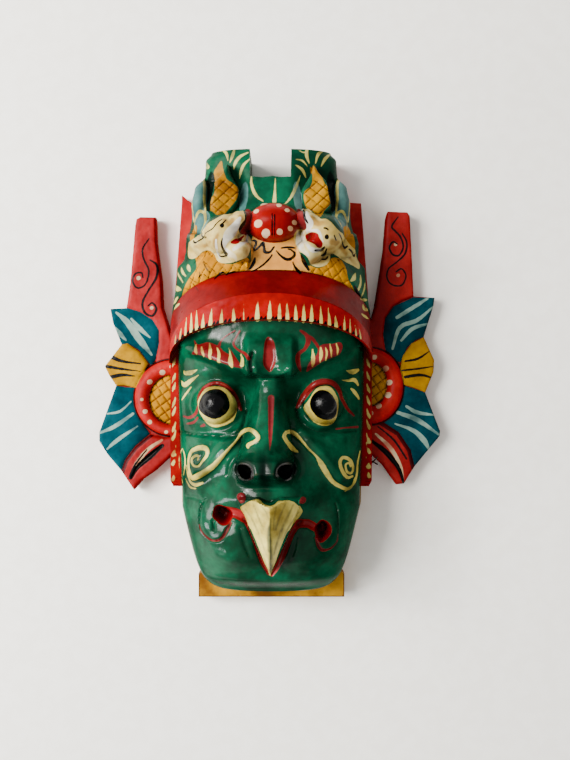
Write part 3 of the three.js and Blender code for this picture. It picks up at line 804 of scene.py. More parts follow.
LEFT_BOARD = on_board(
    origin=(90, 200),
    side=-1,
    boss=(-13.5, 26.5, 26.5),
    dome=(-14.8, 16, 17),
    outline=[
        [(185, 75), (200, 67), (262, 68), (265, 170), (285, 320), (290, 430), (330, 560), (350, 600),
         (350, 1005), (330, 1020), (260, 1085), (210, 1120), (175, 1160), (125, 1085), (70, 1020),
         (35, 965), (35, 930), (103, 742), (75, 700), (58, 665), (125, 578), (90, 490), (80, 435),
         (145, 432), (160, 330), (180, 100)],
    ],
    horn=[
        [(185, 75), (200, 67), (262, 68), (265, 170), (285, 320), (290, 430), (330, 560), (350, 600),
         (350, 680), (262, 650), (275, 570), (275, 520), (250, 480), (200, 450), (145, 432), (160, 330),
         (180, 100)],
    ],
    blue=[
        [(80, 435), (145, 430), (200, 447), (250, 478), (276, 520), (276, 575), (262, 640), (245, 665),
         (225, 640), (195, 600), (150, 575), (125, 578), (90, 490)],
        [(103, 742), (140, 748), (182, 750), (180, 820), (200, 880), (240, 935), (180, 985), (140, 1040),
         (125, 1085), (70, 1020), (35, 965), (35, 930)],
    ],
    yellow=[
        [(125, 578), (150, 573), (200, 608), (235, 655), (212, 700), (185, 752), (140, 742), (103, 742),
         (75, 700), (58, 665)],
    ],
    lobe=[
        [(350, 940), (300, 952), (240, 940), (180, 990), (140, 1042), (125, 1085), (175, 1160), (210, 1120),
         (260, 1085), (330, 1020), (350, 1005)],
    ],
    gouges=[[(285, 985, 5), (240, 1025, 9), (195, 1065, 8), (168, 1110, 4)]],
    pale=[
        [(105, 450, 4), (150, 490, 12), (200, 560, 14), (247, 620, 4)],
        [(165, 475, 4), (200, 515, 9), (240, 550, 3)], [(100, 510, 3), (120, 535, 9), (145, 562, 3)],
        [(70, 855, 3), (120, 845, 5), (165, 805, 2)], [(38, 932, 4), (100, 905, 8), (172, 855, 5)],
        [(68, 997, 3), (110, 960, 8), (190, 905, 3)],
    ],
    cream=[
        [(288, 960, 5), (230, 1000, 7), (185, 1060, 9), (172, 1100, 6)],
        [(180, 1075, 4), (195, 1060, 6), (205, 1045, 3)],
    ],
    black=[
        [(85, 627, 9), (130, 645, 6), (203, 655, 3)], [(64, 665, 7), (130, 676, 5), (202, 685, 2)],
        [(80, 710, 8), (130, 700, 7), (182, 705, 2)],
        [(237, 155, 2.5), (212, 195, 4), (215, 235, 4), (236, 285, 4), (222, 338, 3.5), (190, 352, 4),
         (171, 325, 4), (182, 296, 4), (207, 292, 3.5), (212, 312, 3)],
        [(240, 240, 3), (268, 262, 5), (266, 310, 5), (236, 360, 4), (211, 410, 5), (220, 450, 5),
         (250, 464, 4.5), (266, 436, 5), (250, 412, 3.5), (233, 424, 3)],
        [(290, 982, 8), (240, 1025, 13), (190, 1070, 9), (165, 1112, 6)],
        [(228, 998, 3), (180, 1060, 4), (158, 1112, 5)],
    ],
    dots=[
        [(330, 667, 9), (293, 690, 12), (243, 728, 11), (212, 797, 7), (225, 845, 10), (243, 887, 10),
         (308, 927, 8), (195, 313, 9), (248, 432, 8)],
    ],
)

RIGHT_BOARD = on_board(
    origin=(345, 200),
    side=1,
    boss=(-5.5, 23.0, 26.5),
    dome=(-4.2, 11.5, 15),
    outline=[
        [(165, 70), (172, 45), (250, 48), (260, 62), (268, 220), (275, 385), (360, 390), (355, 425),
         (316, 548), (358, 640), (355, 690), (322, 770), (382, 925), (380, 945), (278, 1068), (237, 1135),
         (205, 1138), (150, 1060), (105, 1020), (80, 1010), (80, 480), (103, 480), (120, 430), (135, 330),
         (155, 200)],
    ],
    horn=[
        [(165, 70), (172, 45), (250, 48), (260, 62), (268, 220), (275, 385), (230, 400), (190, 425),
         (160, 470), (152, 540), (165, 625), (80, 600), (80, 480), (103, 480), (120, 430), (135, 330),
         (155, 200)],
    ],
    blue=[
        [(275, 388), (360, 390), (355, 425), (316, 548), (285, 560), (250, 590), (222, 650), (190, 640),
         (162, 600), (152, 540), (160, 475), (195, 425)],
        [(232, 740), (280, 755), (322, 770), (382, 925), (380, 945), (278, 1068), (262, 1000), (215, 930),
         (148, 888), (205, 850), (230, 800)],
    ],
    yellow=[
        [(316, 548), (358, 640), (355, 690), (322, 770), (280, 752), (235, 740), (220, 680), (230, 625),
         (265, 575)],
    ],
    lobe=[
        [(80, 895), (105, 890), (150, 888), (215, 930), (262, 1000), (278, 1068), (237, 1135), (205, 1138),
         (150, 1060), (105, 1020), (80, 1010)],
    ],
    gouges=[[(105, 965, 5), (165, 1010, 9), (215, 1075, 8), (236, 1130, 4)]],
    pale=[
        [(332, 393, 4), (280, 425, 8), (208, 470, 7)],
        [(355, 425, 3), (290, 480, 8), (220, 510, 8), (190, 595, 5)],
        [(335, 495, 4), (270, 515, 8), (225, 562, 5)], [(245, 825, 5), (290, 850, 8), (357, 860, 3)],
        [(210, 850, 7), (290, 880, 10), (375, 938, 4)],
        [(200, 895, 3), (270, 920, 8), (315, 960, 11), (335, 995, 5)],
    ],
    cream=[[(122, 935, 4), (180, 990, 8), (220, 1060, 6), (233, 1120, 3)]],
    black=[
        [(240, 645, 4), (290, 635, 5), (337, 605, 2)], [(228, 682, 4), (290, 675, 4), (357, 665, 2)],
        [(240, 708, 6), (300, 700, 6), (350, 712, 3)],
        [(212, 68, 2.5), (187, 105, 4), (200, 125, 4), (222, 150, 4), (232, 190, 4), (215, 222, 4),
         (190, 218, 4), (177, 190, 4), (192, 168, 3.5), (210, 178, 3)],
        [(228, 135, 3), (246, 170, 4), (240, 215, 4), (205, 250, 3.5), (174, 275, 3.5), (167, 310, 3.5),
         (185, 338, 3.5), (225, 342, 3.5), (243, 305, 3.5), (226, 276, 3.5), (203, 288, 3)],
        [(105, 962, 6), (165, 1010, 11), (215, 1075, 8), (235, 1135, 5)],
        [(130, 905, 3), (195, 960, 4), (245, 1035, 4)],
    ],
    dots=[
        [(115, 630, 11), (160, 675, 13), (175, 730, 12), (170, 780, 13), (133, 823, 12), (103, 852, 9),
         (202, 178, 8), (212, 302, 8)],
    ],
)


def share(x, y, size):
    """0 at the centre of a boss or dome and 1 at its edge."""
    centre, across, up = size
    return np.hypot((np.abs(x) - BOARD_EDGE) / across, (y - centre) / up)


def net(x, y):
    """Distance from the nearest line of two crossing sets of parallel lines."""
    first = np.abs((x + NET_SLANT * y) / math.hypot(1, NET_SLANT) / NET_GAP % 1 - 0.5)
    second = np.abs((NET_SLANT * x - y) / math.hypot(1, NET_SLANT) / NET_GAP % 1 - 0.5)
    return (0.5 - np.maximum(first, second)) * NET_GAP


def outlined(x, y, board, names):
    """Distances inside a board's straight-sided outlines."""
    flat = Surface(x, y)
    for name in names:
        for shape in board[name]:
            flat.patch(name, shape, 1)
    return flat


def board_relief(x, y, board):
    flat = outlined(x, y, board, ("outline", *RAISED))
    for path in board["gouges"]:
        flat.stroke("gouge", path)
    z = np.full_like(x, BOARD_FACE)
    for name, (top, round_by) in RAISED.items():
        z = raised(z, flat.field(name), top, 0.7, round_by)
    z = z - 1.8 * smooth((flat.field("gouge") + 0.4) / 1.6)
    ring_at, dome_at = share(x, y, board["boss"]), share(x, y, board["dome"])
    dome = 5.5 * arch(dome_at, 2) - 1.3 * np.exp(-((net(x, y) / 0.6) ** 2))
    from_edge = np.clip((1 - ring_at) / (1 - ring_at + (dome_at - 1) * 0.6 + 0.01), 0, 1)
    rim = 6.5 * arch(from_edge * 2 - 1, 2)
    z = np.where(ring_at < 1, np.maximum(z, 12.5 + np.where(dome_at < 1, dome, rim)), z)
    z = z - 0.9 * (1 - np.clip(flat.field("outline") / 1.1, 0, 1)) ** 2
    return z + 0.12 * waves(x, y, 10, 3.0) + 0.05 * waves(x, y, 3, 4.0)


def build_board(name, board):
    fine = 0.62
    outline = board["outline"][0].copy()
    outline[:, 0] = board["side"] * np.maximum(np.abs(outline[:, 0]), BOARD_EDGE)
    low, high = outline.min(0) - 1, outline.max(0) + 1
    x, y = np.meshgrid(np.arange(low[0], high[0], fine), np.arange(low[1], high[1], fine))
    grid_points, grid_faces = block(x, y, board_relief(x, y, board), BOARD_BACK)
    wing = add_mesh(name, grid_points, grid_faces, plain)
    cut(wing, prism([tuple(p) for p in outline], BOARD_BACK - 2, 40), "INTERSECT")
    return wing


def paint_board(x, y, board):
    paint = outlined(x, y, board, ("blue", "yellow", "lobe"))
    in_boss = 1 - share(x, y, board["boss"])
    in_dome = (1 - share(x, y, board["dome"])) * 12
    paint.cover("boss", in_boss * 20)
    paint.cover("dome", in_dome)
    paint.cover("lines", np.minimum(in_dome, 0.3 - net(x, y)))
    # Painted shadow in dark maroon: along the lobe's border with the blue feather, and round the boss's rim
    paint.cover("board_shadow", np.minimum(paint.fields.pop("lobe") + 0.2, paint.field("blue") + 2.6))
    paint.cover("board_shadow", 0.7 - np.abs(in_boss * 24))
    for name in ("pale", "cream", "black"):
        for path in board[name]:
            paint.stroke(name, path)
    for dx, dy, r in board["dots"][0]:
        paint.oval("cream", dx, dy, r, r * 0.9, 0.6)
    return paint


# Paint on the head: the view that each group is read on, its colour and its shapes, here with their steps
OUTLINES = [
    # Red strips beside the pearl
    (left_dragon, "dull_red", 4, [
        [(752, 205), (800, 200), (830, 260), (815, 330), (800, 440), (740, 455), (700, 440), (725, 380),
         (755, 330), (768, 270)],
    ]),
    (right_dragon, "dull_red", 4, [
        [(262, 200), (305, 195), (335, 250), (368, 330), (372, 372), (340, 425), (300, 385), (280, 300)],
    ]),
    # Yellow behind the dragons' heads
    (left_dragon, "yellow", 4, [[(255, 350), (225, 420), (205, 520), (235, 500), (265, 430), (272, 380)]]),
    (right_dragon, "yellow", 4, [
        [(735, 370), (785, 372), (832, 450), (852, 560), (842, 600), (790, 540), (742, 450)],
    ]),
    # Dragons' heads
    (left_dragon, "ivory", 3, [
        [(180, 570), (250, 480), (330, 400), (420, 310), (500, 265), (590, 240), (640, 225), (690, 212),
         (742, 222), (762, 280), (748, 330), (705, 372), (692, 420), (740, 450), (785, 455), (812, 520),
         (802, 600), (770, 670), (700, 702), (600, 728), (520, 732), (470, 702), (440, 640), (380, 602),
         (300, 640), (230, 690), (185, 672)],
    ]),
    (right_dragon, "ivory", 3, [
        [(320, 200), (352, 190), (420, 220), (500, 285), (560, 288), (620, 330), (680, 400), (750, 480),
         (810, 560), (860, 640), (892, 730), (890, 790), (840, 762), (760, 722), (700, 682), (640, 642),
         (605, 640), (600, 700), (560, 750), (480, 772), (410, 742), (380, 682), (330, 632), (290, 612),
         (250, 520), (240, 450), (300, 392), (350, 400), (385, 330), (350, 260)],
    ]),
    (left_dragon, "mouth", 4, [[(605, 520), (660, 485), (745, 452), (705, 510), (680, 538), (625, 541)]]),
    (right_dragon, "mouth", 4, [
        [(355, 450), (390, 430), (430, 420), (480, 440), (495, 480), (525, 520), (525, 560), (500, 580),
         (470, 570), (440, 540), (390, 520), (360, 490)],
    ]),
    # Eyebrows
    (left_face, "face_red", 3, [
        [(232, 75), (255, 115), (300, 108), (350, 98), (430, 130), (470, 170), (520, 200), (570, 240),
         (600, 290), (630, 312), (590, 302), (540, 292), (440, 257), (350, 228), (290, 202), (215, 192),
         (240, 150)],
    ]),
    (right_face, "dull_red", 3, [
        [(430, 140), (470, 112), (540, 110), (600, 97), (622, 130), (600, 190), (540, 220), (480, 242),
         (420, 280), (372, 312), (330, 335), (352, 262), (412, 200)],
    ]),
    # Eyes
    (left_face, "bone", 4, [
        [(285, 520), (330, 465), (410, 450), (480, 465), (540, 520), (578, 590), (572, 660), (540, 730),
         (450, 772), (380, 775), (330, 742), (300, 700), (270, 640), (263, 580)],
    ]),
    (right_face, "bone", 4, [
        [(308, 620), (350, 560), (400, 480), (450, 448), (520, 455), (560, 500), (587, 570), (582, 660),
         (550, 740), (480, 767), (400, 742), (350, 692)],
    ]),
    (left_face, "black", 4, [
        [(300, 520), (360, 478), (440, 476), (500, 530), (516, 620), (470, 682), (400, 712), (330, 690),
         (275, 642), (270, 590)],
    ]),
    (right_face, "black", 4, [
        [(378, 530), (430, 482), (500, 488), (552, 540), (577, 610), (562, 690), (500, 720), (430, 702),
         (380, 652), (358, 590)],
    ]),
]
# Brush strokes on the head: the view that each group is read on, its colour and its paths
STROKES = [
    # Painted shade in the crease beside the brow
    (left_face, "recess_shade", [[(700, 190, 6), (680, 260, 14), (690, 330, 12)]]),
    # Dragons' heads
    (left_dragon, "tan", [
        [(545, 300, 20), (590, 340, 34), (625, 300, 26)], [(690, 640, 30), (735, 600, 36), (765, 640, 16)],
        [(480, 440, 12), (450, 520, 26), (470, 600, 14)], [(700, 235, 20), (715, 290, 22)],
        [(250, 560, 12), (330, 560, 20), (400, 520, 12)],
    ]),
    (right_dragon, "tan", [
        [(420, 270, 26), (470, 330, 34), (560, 330, 26)], [(420, 720, 20), (500, 700, 36), (570, 680, 20)],
        [(620, 520, 30), (700, 560, 26), (760, 640, 20)], [(600, 600, 26), (640, 600, 20)],
        [(800, 680, 20), (850, 740, 16)],
    ]),
    (left_dragon, "white", [
        [(545, 560, 14), (560, 490, 34), (600, 430, 50), (660, 350, 34), (700, 280, 14)],
        [(560, 600, 16), (600, 640, 26), (650, 670, 18), (660, 720, 6)],
        [(640, 590, 20), (700, 550, 22), (760, 520, 16), (775, 450, 8)],
        [(460, 500, 10), (470, 600, 14), (500, 680, 12)],
    ]),
    (right_dragon, "white", [
        [(330, 200, 14), (370, 270, 30), (400, 340, 34), (370, 420, 14)],
        [(330, 420, 14), (335, 500, 16), (380, 560, 18), (430, 600, 26), (500, 600, 14)],
        [(400, 410, 12), (470, 405, 16), (505, 450, 12), (530, 520, 8)],
        [(280, 420, 16), (290, 520, 30), (330, 600, 22), (380, 650, 14)],
    ]),
    # Cream strokes on the crown
    (crown, "mark", [
        [(345, 62, 3), (368, 80, 9), (378, 125, 3)], [(415, 58, 7), (405, 95, 10), (388, 138, 2)],
        [(498, 75, 4), (450, 100, 9), (420, 140, 9), (413, 180, 2)],
        [(512, 112, 3), (475, 145, 8), (455, 190, 8), (447, 232, 2)],
        [(255, 68, 3), (300, 62, 4), (340, 66, 2)], [(240, 185, 3), (258, 165, 9), (250, 140, 3)],
        [(518, 208, 2), (520, 270, 8), (545, 330, 9), (592, 370, 3)],
        [(662, 228, 2), (660, 300, 7), (656, 372, 12)],
        [(812, 213, 2), (785, 285, 9), (758, 340, 8), (712, 385, 3)],
        [(853, 42, 8), (850, 95, 10), (865, 140, 3)], [(955, 60, 5), (920, 85, 9), (903, 140, 3)],
        [(990, 88, 5), (960, 115, 9), (938, 158, 3)], [(785, 115, 3), (825, 125, 6), (855, 160, 2)],
        [(785, 150, 4), (825, 180, 9), (845, 225, 4)], [(800, 60, 2), (830, 75, 4), (850, 70, 2)],
    ]),
    (left_dragon, "mark", [
        [(180, 740, 4), (185, 780, 20), (205, 820, 4)], [(110, 760, 3), (125, 820, 14), (160, 865, 6)],
        [(60, 785, 6), (90, 860, 10), (130, 925, 8)], [(35, 950, 6), (70, 985, 24), (110, 1000, 10)],
        [(75, 1075, 10), (50, 1110, 18), (30, 1150, 4)], [(90, 1140, 10), (60, 1165, 14), (40, 1200, 3)],
    ]),
    (right_dragon, "mark", [
        [(855, 830, 6), (840, 880, 22), (812, 908, 10)], [(905, 850, 6), (905, 940, 12), (872, 1018, 10)],
        [(950, 930, 6), (940, 1000, 9), (912, 1068, 6)], [(910, 1090, 10), (950, 1100, 14), (985, 1105, 4)],
        [(930, 1150, 8), (945, 1190, 18), (985, 1205, 8)],
        [(920, 1240, 8), (955, 1268, 14), (985, 1290, 6)],
    ]),
    # Eyebrows
    (left_face, "face_red", [
        [(232, 72, 2), (245, 110, 8), (262, 135, 12)],
        [(430, 135, 12), (450, 85, 8), (500, 40, 6), (560, 5, 6)],
        [(597, 8, 8), (568, 60, 8), (547, 110, 9), (580, 155, 9), (640, 190, 12), (668, 230, 14)],
        [(520, 150, 3), (545, 200, 8), (590, 270, 10)],
    ]),
    (left_face, "cream", [
        [(248, 115, 4), (245, 165, 13), (258, 198, 4)], [(290, 130, 3), (298, 170, 12), (312, 213, 6)],
        [(357, 105, 4), (362, 170, 14), (358, 222, 10), (374, 234, 3)],
        [(418, 140, 5), (432, 195, 12), (428, 248, 11), (446, 260, 3)],
        [(512, 142, 3), (522, 200, 9), (525, 260, 20), (537, 297, 8)],
        [(605, 190, 4), (618, 230, 10), (615, 280, 17)],
    ]),
    (right_face, "face_red", [
        [(285, 5, 10), (330, 40, 15), (345, 90, 20), (320, 150, 13), (270, 190, 16), (262, 240, 20),
         (275, 300, 14), (288, 332, 5)],
        [(330, 42, 8), (370, 62, 13), (410, 110, 13), (432, 150, 9)],
    ]),
    (right_face, "cream", [
        [(380, 155, 5), (385, 200, 13), (385, 250, 17), (378, 300, 4)],
        [(445, 140, 6), (450, 190, 15), (440, 258, 5)], [(480, 130, 4), (495, 180, 9), (485, 245, 5)],
        [(520, 110, 4), (528, 160, 9), (532, 215, 5)], [(570, 110, 5), (582, 150, 9), (578, 200, 5)],
    ]),
    # Eyes
    (left_face, "dull_red", [
        [(150, 690, 7), (200, 700, 12), (250, 660, 12), (262, 600, 6)],
        [(175, 750, 6), (230, 738, 11), (262, 700, 8)], [(290, 770, 8), (312, 760, 13)],
    ]),
    (right_face, "dull_red", [[(570, 792, 7), (640, 782, 6), (740, 775, 10)]]),
    # Cream flames and scrolls on the cheeks
    (left_face, "cream", [
        [(150, 325, 2), (165, 345, 15), (210, 340, 17), (258, 318, 3)],
        [(130, 405, 3), (155, 440, 18), (200, 410, 16), (268, 360, 3)],
        [(135, 560, 3), (160, 520, 8), (210, 455, 4)],
        [(140, 948, 3), (122, 990, 6), (118, 1060, 6), (126, 1140, 6), (142, 1225, 3)],
        [(142, 950, 3), (158, 1010, 6), (160, 1080, 6), (148, 1160, 4)],
        [(172, 1080, 3), (180, 1150, 6), (205, 1215, 9), (245, 1240, 14), (300, 1224, 9)],
        [(165, 1190, 3), (200, 1255, 7), (250, 1270, 4)],
    ]),
    (right_face, "cream", [
        [(650, 325, 3), (700, 335, 20), (745, 320, 12)],
        [(615, 400, 3), (660, 405, 9), (715, 400, 16), (745, 440, 8)],
        [(690, 470, 8), (720, 500, 14), (752, 550, 8)],
        [(700, 1170, 8), (660, 1180, 12), (620, 1130, 14), (600, 1060, 14), (625, 1020, 13),
         (680, 1040, 13), (705, 1100, 11), (690, 1145, 9), (655, 1130, 9), (645, 1080, 8), (670, 1065, 8),
         (685, 1092, 7)],
        [(762, 965, 5), (742, 1060, 8), (735, 1150, 9), (710, 1230, 9), (640, 1290, 5)],
    ]),
    # Beak
    (jaw, "deep_edge", [
        [(815, 420, 2), (803, 500, 8), (792, 580, 16), (796, 680, 20), (803, 800, 18), (807, 905, 10)],
        [(600, 390, 1), (660, 480, 5), (720, 620, 4), (770, 760, 1)],
        [(665, 350, 1), (700, 440, 6), (750, 560, 3)], [(705, 330, 1), (770, 420, 5), (790, 480, 2)],
        [(985, 360, 4), (930, 480, 9), (870, 620, 9), (830, 760, 4)],
        [(925, 350, 2), (880, 450, 7), (845, 560, 5)], [(1030, 420, 2), (960, 520, 7), (900, 640, 2)],
        [(850, 375, 2), (835, 450, 6), (830, 560, 3)],
    ]),
    # Black line along a dragon's snout
    (left_dragon, "black", [
        [(735, 215, 5), (755, 260, 9), (750, 310, 10), (715, 360, 12), (690, 400, 8), (695, 420, 4)],
    ]),
]
# Fine black brushwork, and one painted shadow line beside the right dragon's panel
BLACK_STROKES = [
    (left_dragon, [
        [(525, 480, 3), (515, 540, 6), (535, 600, 8), (570, 645, 11)],
        [(490, 640, 4), (505, 665, 5), (560, 660, 5)],
        [(235, 510, 6), (252, 528, 6), (300, 500, 4), (350, 440, 4), (420, 390, 3), (460, 340, 3),
         (520, 290, 3)],
        [(320, 430, 4), (320, 460, 5), (360, 475, 5)], [(500, 350, 3), (535, 325, 5), (560, 300, 3)],
        [(825, 505, 4), (855, 510, 10), (860, 540, 8), (840, 590, 6), (850, 605, 5), (900, 560, 8),
         (930, 530, 12), (940, 570, 10), (950, 620, 12), (1000, 620, 8), (1040, 570, 6)],
        [(850, 675, 3), (840, 720, 14), (810, 775, 10), (790, 790, 4)],
        [(1020, 650, 6), (1000, 680, 6), (930, 750, 6), (850, 800, 4), (810, 815, 3)],
        [(445, 890, 3), (480, 850, 6), (520, 825, 6), (552, 832, 4)],
        [(560, 850, 3), (590, 835, 5), (650, 815, 3)], [(225, 935, 3), (255, 970, 3), (280, 1010, 3)],
        [(290, 815, 3), (300, 850, 3), (285, 885, 2)], [(330, 715, 3), (362, 780, 4), (400, 830, 3)],
    ]),
    (right_dragon, [
        [(335, 205, 9), (345, 260, 9), (365, 310, 7), (380, 332, 4)],
        [(540, 380, 4), (562, 382, 5), (582, 398, 4)], [(450, 605, 6), (500, 605, 8), (545, 570, 6)],
        [(515, 655, 4), (550, 640, 8), (565, 590, 4)], [(520, 695, 5), (560, 690, 6), (578, 660, 4)],
        [(690, 435, 3), (720, 500, 4), (745, 578, 6), (775, 560, 5)], [(640, 450, 3), (662, 502, 4)],
        [(790, 590, 4), (838, 660, 5), (850, 640, 4)], [(110, 580, 3), (180, 572, 8), (250, 580, 4)],
        [(60, 605, 3), (110, 660, 8), (175, 695, 13), (235, 670, 12), (245, 630, 8), (210, 600, 4),
         (180, 590, 3)],
        [(225, 715, 3), (250, 770, 8), (300, 830, 12)], [(310, 650, 4), (340, 720, 14), (385, 795, 10)],
        # The first path on the next line is a painted shadow line beside the right panel
        [(845, 960, 6), (870, 1010, 12), (900, 1060, 4)], [(20, 235, 3), (20, 460, 3)],
        [(46, 245, 3), (46, 460, 3)],
    ]),
]
DRAGON_EYES = [(*left_dragon([(520, 355)])[0], 1.45), (*right_dragon([(568, 468)])[0], 1.4)]
PANEL = [
    *left_dragon([(800, 330), (832, 400), (812, 520), (812, 640), (792, 760), (750, 830), (1000, 832)]),
    *right_dragon([
        (200, 850), (385, 862), (400, 790), (340, 700), (300, 640), (262, 560), (240, 480), (180, 420),
    ]),
]
# The last, darkest oval is painted shade in the recess beside each horn
SIDE_OVALS = [
    ("teal", 47.5, 117, 5.5, 15, 0.12), ("teal", 45, 101, 5.5, 9, 0.25), ("teal", 17.5, 117, 2.8, 11, 0.1),
    ("recess_shade", 40.5, 122, 3.4, 15, 0.08),
]
SIDE_CURLS = [
    [(51, 103, 0.4), (52, 118, 0.5), (49.5, 130, 0.8), (46, 132, 0.9), (43.6, 127, 0.9), (43.4, 115, 0.8),
     (42.5, 107, 0.4)],
    [(49, 95, 0.3), (50, 103, 0.6), (47, 109, 0.9), (43, 107, 0.9), (42.5, 100, 0.6), (45, 94, 0.3)],
]


def paint_crown_and_brim(paint, x, y):
    low, mid, top = brim_low(x), brim_ridge(x), brim_top(x)
    past_face = np.abs(x) - face_half(y)
    in_brim = np.minimum.reduce([4 * (y - low + 0.3), top - y, BRIM + 1.5 - np.abs(x)])
    band = np.minimum.reduce([past_face - 0.2, y - BAND_LOW, low - y + 4])
    # The dark red line just outside the face's sides is painted shadow in the groove there; the brim's upper
    # slope is dark red paint
    groove_shadow = np.minimum.reduce([0.55 - np.abs(past_face - 0.5), low - 1 - y, y - BAND_LOW])
    paint.cover("crown_green", y - top)
    paint.cover("red", np.maximum(in_brim, band))
    paint.cover("dark_red", np.maximum(np.minimum(in_brim, y - mid), groove_shadow))
    paint.cover("fin", np.minimum(20 * (np.abs(x) - crown_half(y) - 0.5), y - top))
    paint.oval("red", EMBLEM_X - 0.3, 97.6, 17, 12.4)
    paint.patch("peach", PANEL)
    for side in (-1, 1):
        for colour, ox, oy, rx, ry, turn in SIDE_OVALS:
            paint.oval(colour, side * ox, oy, rx, ry, side * turn)
        for curl in SIDE_CURLS:
            paint.stroke("mark", [(side * cx, cy, half) for cx, cy, half in curl])
    for dx, dy, r in DOTS:
        paint.oval("dots", dx, dy, r, r * 0.9)
    for horn in HORNS:
        paint.patch("ochre", horn)


def paint_hatching(paint, x, y, z):
    """Fine lines on the dragons' bodies and horns, and round the chin plate's edge."""
    flat = Surface(x, y)
    for side, body, horn in zip((-1, 1), BODIES, HORNS):
        paint.patch("yellow", body)
        flat.patch("body", body)
        flat.patch("horn", horn)
        hatch(flat, "crossed", side, 0.3)
    crossed = np.minimum.reduce([flat.field("crossed"), flat.field("horn"), HATCH_TOP - y])
    rim = 0.7 - np.minimum(PLATE_HALF - np.abs(x), y - HEAD_LOW)
    paint.cover("lines", np.minimum(0.28 - scales(x, y), flat.field("body")))
    paint.cover("lines", crossed)
    paint.cover("lines", np.where((z < EDGE_Z) & (y < PLATE_TOP), rim, FAR))


def paint_fringe(paint, y, low):
    """The brim's row of cream tongues, with dark teeth between them, and the bands' smaller ones."""
    spots = FRINGE[:, 0]
    for i, (bx, (tall, half)) in enumerate(zip(spots, FRINGE_SIZES)):
        by = float(brim_low(bx))
        lean = -0.012 * bx + 0.5 * math.sin(1.3 * i)
        middle = (bx + 0.3 * lean, by + 0.45 * tall, 0.72 * half)
        paint.stroke("mark", [(bx, by + 0.6, half), middle, (bx + lean, by + tall, 0.12)], 3)
    for a, b in zip(spots[:-1], spots[1:]):
        for between in (0.33, 0.67) if b - a > 6 else (0.5,):
            mx = lerp(a, b, between)
            my = float(brim_low(mx))
            paint.stroke("teeth", [(mx - 0.2, my, 1.3), (mx + 0.5, my + 2.6, 0.1)], 1)
    paint.fields["teeth"] = np.minimum(paint.field("teeth"), y - low + 0.1)
    for side in (-1, 1):
        tx = side * BAND_MIDDLE
        for i in range(10):
            ty = BAND_LOW + 8.5 + 8.3 * i + 1.2 * math.sin(3.0 * i + side)
            tip, foot = (tx - side * 1.2, ty + 4.5, 0.15), (tx + side, ty - 2.6, 1.25)
            paint.stroke("mark", [tip, (tx, ty, 0.8), foot], 3)
        for i in range(3):
            ty = BAND_LOW + 1.5 + 1.9 * i
            paint.stroke("dark_red", [(side * 62, ty, 0.35), (side * 67, ty + 0.5, 0.35)], 1)


def paint_face(paint):
    paint.patch("face_red", FOREHEAD_MARK)
    paint.stroke("dull_red", NOSE_MARK)
    lines = {"face_red": LIDS, "cream": SCROLLS, "rose": MOUTH_LINES + BEAK_WALLS, "dull_red": LOBE_LINES}
    for colour, paths in lines.items():
        for path in paths:
            paint.stroke(colour, path)
    for nx, ny, r in NOSTRILS:
        paint.oval("black", nx + 0.2, ny - 0.3, r + 1.5, r + 1.2)
        # The soft darkening round each nostril widens its black paint, and the one on the septum under the
        # nose tip is painted shade
        paint.oval("nostril_dark_and_shade", nx, ny, r + 3, r + 3)
    paint.oval("nostril_dark_and_shade", -3, -58, 4.5, 11)
    for (wx, wy), r in zip(WARTS, (2.9, 2.3)):
        paint.oval("dull_red", wx, wy, r, r)
    for hole in MOUTH_HOLES:
        paint.patch("hole", hole, grow=0.3)
    paint.patch("bone", BEAK, 3)
    for ex, ey, size in DRAGON_EYES:
        paint.oval("black", ex, ey, size, size * 1.1)


def paint_head(x, y, z):
    paint = Surface(x, y)
    off_face = (y < chin_line(x) - 0.1) | (np.abs(x) > face_half(y) + 0.15)
    paint.cover("ochre", np.where((z < EDGE_Z) & off_face & (y < 30), 1, -2))
    paint_crown_and_brim(paint, x, y)
    paint_hatching(paint, x, y, z)
    paint_fringe(paint, y, brim_low(x))
    paint_face(paint)
    for place, colour, steps, shapes in OUTLINES:
        for shape in shapes:
            paint.patch(colour, place(shape), steps)
    for place, colour, paths in STROKES:
        for path in paths:
            paint.stroke(colour, place(path))
    for place, paths in BLACK_STROKES:
        for path in paths:
            paint.stroke("black", place(path), grow=0.26)
    return paint


def set_fields(obj, fields):
    for name, values in fields.items():
        attribute = obj.data.attributes.new(name, "FLOAT", "POINT")
        attribute.data.foreach_set("value", np.asarray(values, np.float32))


def vertex_places(obj):
    count = len(obj.data.vertices)
    flat = np.zeros(count * 3)
    obj.data.vertices.foreach_get("co", flat)
    return (flat.reshape(-1, 3) / MM).T


